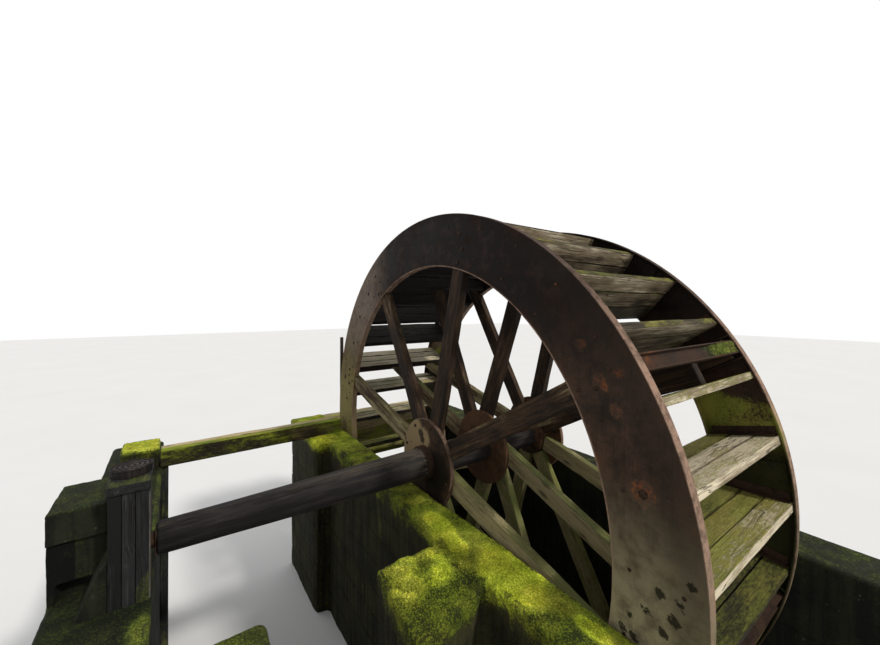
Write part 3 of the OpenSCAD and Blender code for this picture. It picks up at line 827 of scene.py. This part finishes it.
# Painted light: the near hub's tan places light its disc; its dark places are a hole, dark spots and painted
# shade.
DISC_PAINTED_LIGHT = [(0.24, 2.48, 0.24), (0.18, 2.66, 0.16), (0.26, 2.30, 0.14), (0.03, 2.62, 0.12)]
DISC_DARK_AND_SHADE = [(0.075, 2.65, 0.05), (0.05, 2.60, 0.045), (0.262, 2.52, 0.016), (0.375, 2.53, 0.03),
             (-0.20, 2.40, 0.20), (-0.12, 2.22, 0.18)]
BROWN_RUST, ORANGE_RUST = (74, 57, 46), (124, 72, 42)
RING_NEAR_IRON = iron_material("near ring iron", (42, 34, 29), BROWN_RUST, ORANGE_RUST, 0.0, NEAR_RUST,
                               NEAR_STAINS, rim=RING_OUT)
RING_FAR_IRON = iron_material("far ring iron", (26, 21, 19), BROWN_RUST, ORANGE_RUST, 0.02, green=0.62,
                              rim=RING_OUT)
HUB_NEAR_IRON = iron_material("near hub iron", (28, 22, 18), (74, 56, 42), (122, 78, 50), -0.02,
                              dark=DISC_DARK_AND_SHADE, tan=DISC_PAINTED_LIGHT, rim=DISC_OUT)
HUB_IRON = iron_material("hub iron", (46, 36, 28), (100, 74, 54), (150, 98, 62), 0.02, rim=DISC_OUT)
STRAP_IRON = iron_material("worn strap iron", (44, 42, 40), (92, 89, 85), (132, 126, 118), 0.10)
SMALL_IRON = iron_material("small iron", (28, 22, 19), (64, 48, 38), (128, 76, 46), 0.05)
BLACK_IRON = iron_material("black iron", (12, 10, 9), (22, 17, 14), (40, 28, 22))

# Iron that keeps its own shape
for material, nodes in ((RING_NEAR_IRON, "ring_near"), (RING_FAR_IRON, "ring_far"),
                        (HUB_NEAR_IRON, "hub_near"), (HUB_IRON, "hub_middle hub_far"),
                        (STRAP_IRON, "post_strap"),
                        (SMALL_IRON, "cross_ties shaft_hoops gudgeon_bank gudgeon_far float_irons_near "
                                     "float_irons_far bearing_bank bearing_far")):
    for node in nodes.split():
        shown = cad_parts[node].data.materials
        shown.clear()
        shown.append(material)

# Radius, height and sides of each sort of bolt head.
FLOAT_BOLT, ARM_BOLT, DISC_BOLT = (0.010, 0.005, 10), (0.015, 0.008, 6), (0.017, 0.009, 6)
BIG_BOLT, OLD_BOLT = (0.024, 0.013, 6), (0.018, 0.006, 8)


def stud_both(piece, angle, reach, across, bolt):
    """The same bolt on the outer faces of both rings."""
    _, y, z = round_axle(angle, reach, 0, across)
    stud(piece, y, z, NEAR_FACE, -1, *bolt)
    stud(piece, y, z, FAR_FACE, 1, *bolt)


piece = Piece("ring_bolts")
for number in range(FLOAT_COUNT):
    for part, reach in enumerate((1.93, 2.17)):
        stud_both(piece, FLOAT_FIRST + number * FLOAT_PITCH, reach + 0.02 * math.sin(number * 5 + part),
                  0.012 * math.sin(number * 3 + part), FLOAT_BOLT)
for number in range(ARM_COUNT):
    angle = SIDE_ARMS + number * ARM_PITCH
    for reach, across in ((1.88, 0.0), (2.0, 0.035), (2.12, -0.03)):
        stud_both(piece, angle, reach, across, ARM_BOLT)
    stud(piece, *round_axle(angle, 0.345, 0)[1:], DISC_FACE, -1, *DISC_BOLT)
stud(piece, *BIG_BOLT_PLACE, NEAR_FACE, -1, *BIG_BOLT)
piece.make(SMALL_IRON, "wheel")
piece = Piece("ring_old_bolts")
for y, z in ((1.31, 4.008), (1.026, 4.001), (1.568, 3.727), (1.772, 3.377), (1.911, 3.008), (2.075, 2.874),
             (1.929, 2.815), (2.012, 2.6)):
    stud(piece, y, z, NEAR_FACE, -1, *OLD_BOLT)
piece.make(BLACK_IRON, "wheel")

# Moss that lies in a cross tie
angle = SIDE_ARMS + 3 * ARM_PITCH
middle = round_axle(angle, 0, 0)
spoke, side = round_axle(angle, 1, 0) - middle, round_axle(angle, 0, 0, 1) - middle
local, quads = shell(np.arange(1.14, 1.722, 0.007), np.linspace(-0.041, 0.041, 13), np.array([0.0, 1.0]))
flat = local * [1, 1, 0]
clumps = cushions(flat, 0.030, 641)
heap = smooth_step(local[:, 0] + 0.10 * layered(flat, 0.07, 645, 3), 1.22, 1.50)
height = heap * (0.014 + 0.034 * clumps + 0.006 * layered(flat, 0.012, 643, 2)) - 0.002
reach = ARM_OUT + 0.0075 + local[:, 2] * np.clip(height, -0.003, 0.049)
points = middle + np.outer(local[:, 0], (1, 0, 0)) + np.outer(reach, spoke) + np.outer(local[:, 1], side)
piece = Piece("tie_moss")
# Painted light on the clumps' crowns, and painted shade between them.
piece.add(points, [quads], points, 0.3 + 0.6 * heap + 0.2 * layered(flat, 0.03, 649, 2), 1.2 * clumps - 0.35)
piece.make(BANK_STONE, "wheel")

# The wheel's timbers

# How much paler and greener a float's three boards are than the rest, from the inner one out.
# Their paleness is partly weathering and partly painted sunlight and shade.
FLOAT_LOOKS = {
    10: ((-0.12, 0.15), (-0.14, 0.0), (-0.06, -0.02)), 11: ((-0.16, 0.15), (-0.10, 0.02), (-0.06, 0.0)),
    12: ((-0.1, 0.15), (-0.02, 0.05), (0.10, 0.02)), 13: ((-0.05, 0.3), (0.0, 0.2), (0.46, 0.07)),
    14: ((0.05, 0.42), (0.34, -0.24), (0.42, -0.30)), 15: ((0.22, 0.22), (0.42, 0.12), (0.60, 0.02)),
    16: ((-0.6, 0.1), (-0.55, 0.05), (-0.35, 0.0)), 17: ((-0.8, 0.1), (-0.7, 0.15), (-0.55, 0.2))}
FLOAT_LOOKS.update({number: ((0.15, -0.28),) * 3 for number in (31, 0, 1)})
FLOAT_LOOKS.update({number: ((-0.1, -0.28),) * 3 for number in range(2, 8)})
FLOAT_LIFTS = {14: (0.006, 0.0, -0.002), 15: (0.010, 0.0, 0.002)}
PLAIN_LOOKS, NO_LIFT = ((0.0, 0.0),) * 3, (0.0,) * 3


def lowness(angle):
    """0 at the wheel's top, 1 at its foot."""
    return (1 - math.sin(math.radians(angle))) / 2


def float_shade(places, facing):
    """Far-side boards: near-black painted shade below, painted light on top; outer edges are a little dull.
    """
    up = smooth_step(facing[:, 2], 0.86, 0.97)
    inside = smooth_step(places[:, 1], -0.55, 0.1)
    spoke = places * [0, 1, 1] - [0, 0, AXLE_Z]
    outer = smooth_step((spoke * facing).sum(axis=1) / np.linalg.norm(spoke, axis=1), 0.6, 0.9) * (1 - inside)
    return inside * (0.42 * up - 1.05 * (1 - up)) - 0.30 * outer


for group in range(4):
    piece = Piece(f"float_boards_{group + 1}")
    for number in range(group * 8, group * 8 + 8):
        angle = FLOAT_FIRST + number * FLOAT_PITCH
        square = round_axle(angle, 0, 0, 1) - [0, 0, AXLE_Z]
        for board, (tone, green) in enumerate(FLOAT_LOOKS.get(number, PLAIN_LOOKS)):
            seed = number * 3 + board + 1
            vary, other = chance(seed, 2, 3, 5), chance(seed, 2, 3, 6)
            rise = FLOAT_LIFTS.get(number, NO_LIFT)[board] + 0.003 * (other - 0.5)
            start, end = (round_axle(angle, FLOAT_IN + BOARD_W * (board + 0.5), x, -rise)
                          for x in (FLOAT_START, FLOAT_END))
            timber(piece, start, end, square, BOARD_W - 0.003 - 0.004 * vary, BOARD_T, seed,
                   moss=0.10 + 0.55 * lowness(angle)**0.9 + green + 0.14 * (vary - 0.5),
                   tone=tone + 0.16 * (vary - 0.5), wear=0.004 + 0.003 * vary, edge=0.006,
                   step=0.028 if 9 <= number <= 18 else 0.06, across_step=0.0143, ragged=0.006 * other,
                   bow=0.006 * (vary - 0.5), shade=float_shade)
    piece.make(FLOAT_TIMBER, "wheel", [f"floats_{group + 1}"])

for name, x, first, shift in (("arms_near", NEAR_PLATE, SIDE_ARMS, 0.0),
                              ("arms_middle", MIDDLE_ARMS_X, MIDDLE_ARMS, MIDDLE_SHIFT),
                              ("arms_far", FAR_PLATE - ARM_T, SIDE_ARMS, 0.0)):
    piece = Piece(name + "_timber")
    for number in range(ARM_COUNT):
        angle = first + number * ARM_PITCH
        low, dark = lowness(angle), 0.31 if number == 3 else 0.19
        start, end = (round_axle(angle, reach, x + ARM_T / 2, shift) for reach in (ARM_IN, ARM_OUT))
        timber(piece, start, end, (1, 0, 0), ARM_W, ARM_T, 200 + int(x * 100) + number,
               moss=0.52 * low - 0.05, tone=0.78 * low - dark, wear=0.006, edge=0.010, step=0.045,
               across_step=0.02)
    piece.make(ARM_TIMBER, "wheel", [name])


def shaft_shade(places, facing):
    """Painted light along the top; paler by the near hub, darker towards the bank."""
    x = places[:, 0]
    by_hub = 0.20 * smooth_step(x, -0.12, 0.10) * (x < 0.25)
    return 0.15 * smooth_step(facing, 0.70, 0.97) + by_hub - 0.01 - 0.14 * smooth_step(-x, 0.6, 1.6)


def shaft_stick(piece, start, end, end_width, seed, around=56, flats=8):
    """An eight-sided timber along the axle with closed ends, which may narrow along its length."""
    way, length = math.copysign(1, end - start), abs(end - start)
    stations = cuts(0, length, 0.03, 0.012)
    count = len(stations) + 6
    run = np.repeat(np.concatenate([[0] * 3, stations, [length] * 3]), around)
    share = np.repeat([0.25, 0.5, 0.75] + [1.0] * len(stations) + [0.75, 0.5, 0.25], around)
    angles = np.arange(around) * 2 * np.pi / around
    turn = 2 * np.pi / flats
    reach = np.minimum(1 / np.cos((angles + turn / 2) % turn - turn / 2), SHAFT_CORNER)
    radius = np.tile(reach, count) * (SHAFT_W + (end_width - SHAFT_W) * run / length) / 2 * share
    angle = np.tile(angles, count)
    local = np.column_stack([run, radius * np.cos(angle), radius * np.sin(angle)])
    local = np.concatenate([local, [[0, 0, 0], [length, 0, 0]]])
    grain, fibres, hollows = wood_relief(local, seed, (0.4, 0.022, 0.022))
    fibres, hollows = fibres[:-2], np.append(hollows[:-2], [0, 0])
    depth = 0.004 * np.clip(0.5 + 0.5 * fibres + 0.6 * hollows[:-2], 0, 1.4)
    depth += 0.004 * ((run < stations[1]) | (run > stations[-2]))
    radius = radius - depth * (share > 0.98)
    points = np.column_stack([start + way * run, -way * radius * np.cos(angle),
                              AXLE_Z + radius * np.sin(angle)])
    points, faces = closed(points, around, [start, 0, AXLE_Z], [end, 0, AXLE_Z], -1)
    facing = np.append(np.sin(angle) * (share > 0.98), [0, 0])
    piece.add(points, faces, grain, 0.2 * smooth_step(facing, 0.3, 0.9) + 0.12 * hollows,
              0.15 * hollows + shaft_shade(points, facing))


shaft_low, shaft_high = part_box("shaft")
tail_low, tail_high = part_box("shaft_tail")
piece = Piece("shaft_timber")
shaft_stick(piece, shaft_low.x, shaft_high.x, SHAFT_W, 301)
SPLINTERS = 22
for number in range(SPLINTERS):
    turn = number * 2 * math.pi / SPLINTERS
    luck = [chance(number, 4, i, 9) for i in range(4)]
    out = np.array([0, math.cos(turn), math.sin(turn)])
    start = np.array([0.250, 0, AXLE_Z]) + out * 0.133
    tip = np.array([0.185 - 0.05 * luck[0], 0, AXLE_Z]) + out * (0.130 + 0.006 * luck[1])
    timber(piece, start, tip + 0.01 * (luck[3] - 0.5), out, 0.014 + 0.016 * luck[2], 0.007, 330 + number,
           tone=0.5, wear=0.002, edge=0.002, step=0.02, across_step=0.01, up_moss=0.0)
piece.make(SHAFT_TIMBER, "wheel", ["shaft"])
piece = Piece("shaft_tail_timber")
shaft_stick(piece, tail_high.x, tail_low.x, SHAFT_TIP_W, 303)
piece.make(SHAFT_TIMBER, "wheel", ["shaft_tail"])

# Timbers of the race and the bank
WOODS = {"beam_timber": BEAM_TIMBER, "post_timber": POST_TIMBER}


def straight(node, axis, face, slot, seed, sink=0.0, swell=0.0, **looks):
    """A timber that fills its node's box, its length along one axis.

    Sink lets its foot into what it stands on; swell closes the gaps beside it.
    """
    low, high = np.array(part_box(node))
    start, end = (low + high) / 2, (low + high) / 2
    start[axis], end[axis] = low[axis] - sink, high[axis]
    third = 3 - axis - face
    piece = Piece(node + "_timber")
    size = high - low
    timber(piece, start, end, np.eye(3)[face], size[third], size[face] + swell, seed, **looks)
    piece.make(WOODS[slot], "race", [node])


def beam_growth(node, near, far, front_tone, front_moss, end_tone=0.0):
    """Moss along a beam's near edge, a bare, pale far edge, and the tones of its front and right end."""
    low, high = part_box(node)

    def faces(places, facing):
        share = (places[:, 1] - low.y) / (high.y - low.y)
        return share, smooth_step(facing[:, 2], 0.4, 0.8), smooth_step(-facing[:, 1], 0.4, 0.9)

    def growth(places, facing):
        share, top, front = faces(places, facing)
        share = share + 0.18 * layered(places, 0.2, 91, 3)
        edges = near * (1 - smooth_step(share, 0.25, 0.62)) - far * smooth_step(share, 0.45, 0.7)
        return top * edges + front_moss * front

    def shade(places, facing):
        share, top, front = faces(places, facing)
        front = front * (front_tone + end_tone * smooth_step(places[:, 0], high.x - 1.1, high.x - 0.5))
        return 0.75 * top * smooth_step(share, 0.4, 0.75) + front

    return {"growth": growth, "shade": shade}


straight("cross_beam", 0, 2, "beam_timber", 401, moss=0.22, up_moss=0.15, edge=0.014, wear=0.008,
         **beam_growth("cross_beam", 0.45, 0.4, -0.62, 0.26, 0.55))
straight("tail_beam_1", 0, 2, "beam_timber", 402, moss=0.08, tone=0.3, edge=0.014, wear=0.009,
         **beam_growth("tail_beam_1", 0.35, 0.3, 0.35, 0.05))
straight("tail_beam_2", 0, 2, "beam_timber", 403, moss=0.08, tone=0.35, edge=0.014, wear=0.009,
         **beam_growth("tail_beam_2", 0.1, 0.3, 0.15, 0.05))
straight("tail_boards", 0, 1, "beam_timber", 404, moss=0.45, tone=0.1)
straight("tail_stake", 2, 0, "beam_timber", 405, moss=0.2, tone=-0.25, edge=0.006, wear=0.003)
straight("beam_post", 2, 0, "post_timber", 406, swell=0.024, moss=0.4, edge=0.01)


def post_growth(places, facing):
    z = places[:, 2]
    return 0.55 * (1 - smooth_step(z, 2.15, 2.42)) + 0.05 * smooth_step(-z, -2.5, -2.2)


def cap_growth(places, facing):
    front = smooth_step(-places[:, 1] + 0.12 * layered(places, 0.1, 93, 2), 0.02, 0.10)
    return 0.50 * smooth_step(facing[:, 2], 0.3, 0.8) * front


for number, tone, growth in ((1, -0.26, unchanged), (2, -0.05, unchanged), (3, -0.10, post_growth)):
    straight(f"post_{number}", 2, 0, "post_timber", 410 + number, 0.012, 0.005, moss=0.10, tone=tone,
             up_moss=0.0, edge=0.0035, wear=0.0022, across_step=0.008, growth=growth)
straight("post_cap", 1, 2, "post_timber", 415, tone=-0.14, up_moss=0.12, edge=0.009, wear=0.006,
         growth=cap_growth)


def log_slice(node, around=96, loops=22):
    """A round slice off a log: bark round its side, yearly rings and a check on its top."""
    low, high = np.array(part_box(node))
    middle, radius = (low + high) / 2, (high[0] - low[0]) / 2
    angle = np.arange(around) * 2 * np.pi / around
    circle = np.column_stack([np.cos(angle), np.sin(angle), np.zeros(around)])
    edge = 1 - 0.05 * (1 + layered(circle, 0.7, 421, 4)) - 0.03 * np.clip(layered(circle, 0.12, 425, 2), 0, 1)
    reach = circle * (radius * edge)[:, None]
    check = 0.006 * np.exp(-((angle - 4.1) / 0.06) ** 2)
    points, tones = [], []
    for share in np.linspace(0, 1, loops + 1)[1:]:
        spots = middle + reach * share
        yearly = math.sin(share * radius * 2 * math.pi / 0.026)
        lift = 0.003 * yearly + 0.004 * layered(spots * [1, 1, 0], 0.10, 427, 3) - 0.004
        spots[:, 2] = high[2] + lift - check * share
        points.append(spots)
        tones.append(np.full(around, -0.16 + 0.40 * yearly - 0.25 * share**4))
    for z in np.linspace(high[2] - 0.003, low[2] - 0.006, 6):
        bark = np.column_stack([circle[:, :2] * radius, np.full(around, z)])
        shag = 0.008 * layered(bark, (0.02, 0.02, 0.08), 429, 2)
        spots = middle + reach - circle * np.clip(shag + 0.004, 0, 1)[:, None]
        spots[:, 2] = z
        points.append(spots)
        tones.append(shag * 20 - 0.22)
    points, faces = closed(points, around, [*middle[:2], high[2] - 0.004], [*middle[:2], low[2] - 0.006], -1)
    faces[0] = np.roll(faces[0], 1, 1)  # the first corner sets how a quad splits into triangles
    piece = Piece(node + "_timber")
    piece.add(points, faces, points[:, [2, 0, 1]], 0.05, np.concatenate(tones + [[0.2, -0.2]]))
    piece.make(LOG_TIMBER, "race", [node])


log_slice("log_round")


# Masonry
def blot(places, x, y, along, across, turn=0.0):
    """1 at a plan place, falling to 0 over an ellipse."""
    cos, sin = math.cos(math.radians(turn)), math.sin(math.radians(turn))
    east, north = places[:, 0] - x, places[:, 1] - y
    far_along, far_across = (east * sin + north * cos) / along, (east * cos - north * sin) / across
    return 1 - smooth_step(np.hypot(far_along, far_across), 0.35, 1.0)


def race_lean(places, ways):
    """Moss and worn edges of the race wall: a lip over the wheel's side, a broken corner on its head."""
    x, y, z = places.T
    lip = 0.030 * smooth_step(z, 1.86, 2.10) + 0.024 * smooth_step(z, 2.115, 2.145)
    lip = (lip + 0.006 * layered(places, 0.12, 77, 2)) * (1 - 0.35 * blot(places, 0.2, 0.0, 0.7, 0.7))
    lip *= ways[:, 0] > 0.5
    broken = (x < -0.066) * blot(places, -0.15, 1.76, 0.16, 0.3)
    return lip + broken * (0.028 * layered(places, 0.09, 78, 3) - 0.02)


def stub_lumps(places):
    """Waves over the stub's top, which fade out towards its near edge."""
    return layered(places * [1, 1, 0], 0.075, 81, 2), smooth_step(places[:, 1], -1.16, -1.02)


def race_lift(places):
    """The stub's top is lumpy behind and slopes off towards its near edge."""
    x, y, _ = places.T
    stub = smooth_step(-x, 0.05, 0.10) * (y < 0)
    lumps, fade = stub_lumps(places)
    slope = 0.024 * np.clip(lumps, -0.7, 1) * fade - 0.030 * smooth_step(-y, 1.0, 1.32)
    head = smooth_step(-x, 0.06, 0.12) * (y > 1.7) * blot(places, -0.15, 1.78, 0.22, 0.3)
    return stub * slope - head * (0.02 - 0.03 * layered(places, 0.07, 83, 2))


# Painted sunlight and shade on the race wall's moss: how much brighter or duller it is,
# then where: x, y, length, width and turn.
RACE_BLOTS = (
    (1.9, 0.025, -0.56, 0.28, 0.12, 8), (1.8, -0.01, -0.83, 0.15, 0.09, 14),
    (1.8, 0.08, -1.27, 0.42, 0.22, 6), (0.9, -0.14, 1.93, 0.3, 0.16), (1.9, 0.135, -1.80, 0.15, 0.075),
    (0.22, -0.32, -0.95, 0.22, 0.36),
    (-0.45, 0.04, -0.80, 0.05, 0.10, -30), (-0.35, 0.03, -1.02, 0.08, 0.14, -30),
    (-0.55, 0.12, -1.47, 0.12, 0.10), (-0.7, 0.0, -1.75, 0.34, 0.2), (-0.7, -0.29, -0.90, 0.06, 0.09),
    (-0.6, -0.15, -1.17, 0.10, 0.08))


def race_light(places):
    """Painted sunlight and shade on the moss: where it is brightest and where it is dull."""
    x, y, _ = places.T
    light = sum(level * blot(places, *where) for level, *where in RACE_BLOTS)
    light += 0.45 * smooth_step(y, 1.2, 1.9)
    lumps, fade = stub_lumps(places)
    light += 0.8 * lumps * smooth_step(-x, 0.08, 0.14) * fade * (y < 0)
    light -= 0.15 * smooth_step(y, -0.3, 0.2) * (y < 1.4)
    return light - 0.75 * (x < -0.08) * smooth_step(-y, 1.03, 1.20)


def bank_light(places):
    """Painted sunlight on the stub's moss and in a few places; painted shade on the bank by the posts."""
    x, y, _ = places.T
    stub = smooth_step(x, -1.80, -1.70)
    edge = 0.8 * (x > -1.80) * smooth_step(y, 0.3, 0.6) * (1 - smooth_step(y, 1.9, 2.1))
    return 0.25 * stub - 0.80 * (1 - stub) + 1.6 * blot(places, -1.80, -0.42, 0.20, 0.11) + edge


def pad_light(places):
    """Painted sunlight on the pad's top and painted shade down its front."""
    return 0.45 - 1.5 * smooth_step(pad_high.z - places[:, 2], 0.0, 0.035) * (places[:, 1] < 2.1)


race_low, race_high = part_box("race_wall")
head_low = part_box("race_wall_head")[0]
stub_low, stub_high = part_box("race_stub")
race_outline = [(race_high.x, race_low.y), (race_high.x, race_high.y), (head_low.x, race_high.y),
                (head_low.x, head_low.y), (race_low.x, head_low.y), (race_low.x, stub_high.y),
                (stub_low.x + 0.05, stub_high.y), (stub_low.x, stub_low.y), (-0.46, -1.29), (-0.24, -1.25),
                (race_low.x, -1.14), (race_low.x, race_low.y)]
walling("race_masonry", ["race_wall", "race_wall_head", "race_stub"], MOSSY_STONE, 501, race_outline,
        step=0.0195, rows=0.05, grain=0.0115, lean=race_lean, lift=race_lift, light=race_light,
        tufts=[((-0.65, -1.2), (-0.05, -0.7), 1700, 0.017), ((-0.65, -1.36), (-0.05, -1.15), 300, 0.009),
               ((-0.07, -1.7), (0.24, 0.4), 1800, 0.010), ((-0.23, 0.4), (0.2, 2.98), 900, 0.014)])

bank_low, bank_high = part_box("bank_wall")
quay_low, quay_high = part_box("bank_stub")
bank_outline = [(bank_low.x, bank_low.y), (bank_high.x, bank_low.y), (bank_high.x, quay_low.y),
                (quay_high.x - 0.02, quay_low.y), (quay_high.x, quay_high.y), (bank_high.x, quay_high.y),
                (bank_high.x, bank_high.y), (bank_low.x, bank_high.y)]
walling("bank_masonry", ["bank_wall", "bank_stub"], BANK_STONE, 509, bank_outline, step=0.026, rows=0.055,
        grain=0.020, moss=0.78, thick=0.006, cushion=0.012, light=bank_light,
        tufts=[((-1.80, -1.34), (-1.25, -0.7), 1100, 0.012)])
walling("far_wall_masonry", ["far_wall"], BANK_STONE, 511, step=0.035, rows=0.06, grain=0.03, moss=0.4,
        thick=0.004)
pad_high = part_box("bank_pad")[1]
walling("bank_pad_moss", ["bank_pad"], MOSSY_STONE, 513, step=0.010, grain=0.008, moss=1.0, side_moss=-0.15,
        cushion=0.020, clump=0.04, rough=0.016, edge=0.016, light=pad_light,
        tufts=[((-2.2, 1.9), (-1.7, 2.4), 1100, 0.011)])


def recess_shade(places, out):
    """Painted shade: deep in the block's left jamb, slight over its face, which is duller than its top."""
    jamb = smooth_step(-places[:, 0], 2.13, 2.15) * smooth_step(-out[:, 1], 0.3, 0.7)
    return -1.6 * jamb - 0.1 * smooth_step(-out[:, 1], 0.5, 0.9)


# The block, lintel and haunch take low tones: painted shade in the bank's corner.
worn_copy("bank_block_stone", "bank_block", 0.012, 515, BANK_STONE, side_moss=0.30, tone=-0.35,
          shade=recess_shade)
worn_copy("bank_lintel_stone", "bank_lintel", 0.012, 517, BANK_STONE, 0.008, moss=0.7, side_moss=0.16,
          tone=-0.25)
worn_copy("haunch_mortar", "haunch", 0.009, 519, BANK_STONE, 0.010, moss=0.5, side_moss=0.38, tone=-0.60)
worn_copy("bearing_bed_timber", "bearing_bed", 0.012, 521, BEAM_TIMBER, 0.004, tone=-0.2, grain=(1, 0, 2))

# Floor, light and camera
FLOOR_HALF = 60
mesh = bpy.data.meshes.new("floor")
mesh.from_pydata([(x * FLOOR_HALF, y * FLOOR_HALF, 0) for x, y in ((-1, -1), (1, -1), (1, 1), (-1, 1))], [],
                 [(0, 1, 2, 3)])
floor = add_object("floor", mesh)
pale, shader = start_material("pale floor", 0.9)
colour = blend(mottle(object_place(pale), 0.4), (0.74, 0.74, 0.74, 1), (0.80, 0.80, 0.80, 1))
wire(colour, shader.inputs["Base Color"])
mesh.materials.append(pale)

WORLD_LEVEL, SUN_LEVEL = 0.66, 2.1
world = bpy.data.worlds.new("soft light")
bpy.context.scene.world = world
world.use_nodes = True
background = world.node_tree.nodes["Background"].inputs
background["Color"].default_value = (1, 1, 1, 1)
rays = world.node_tree.nodes.new("ShaderNodeLightPath").outputs
seen, glossy, passed = (Value(rays[f"Is {name} Ray"]) for name in ("Camera", "Glossy", "Transmission"))
seen = math_node("MAXIMUM", seen, math_node("MAXIMUM", glossy, passed))
wire(spread(seen, 0.0, 1.0, WORLD_LEVEL, 1.0), background["Strength"])

sun = add_object("key light", bpy.data.lights.new("key light", "SUN"))
sun.data.energy, sun.data.angle, sun.data.color = SUN_LEVEL, math.radians(5), (1.0, 0.97, 0.90)
sun.rotation_euler = Vector((-0.25, 0.72, -0.64)).to_track_quat("-Z", "Y").to_euler()

camera = add_object("camera", bpy.data.cameras.new("camera"))
camera.location = (-1.666, -2.956, 3.860)
camera.rotation_euler = (math.radians(90.18), 0, math.radians(-35.2436))
camera.data.sensor_fit, camera.data.sensor_width = "HORIZONTAL", 36.0
camera.data.lens = 15.38
camera.data.shift_y = -0.0197
camera.data.clip_start, camera.data.clip_end = 0.05, 300
bpy.context.scene.camera = camera
bpy.context.scene.view_settings.view_transform = "Standard"
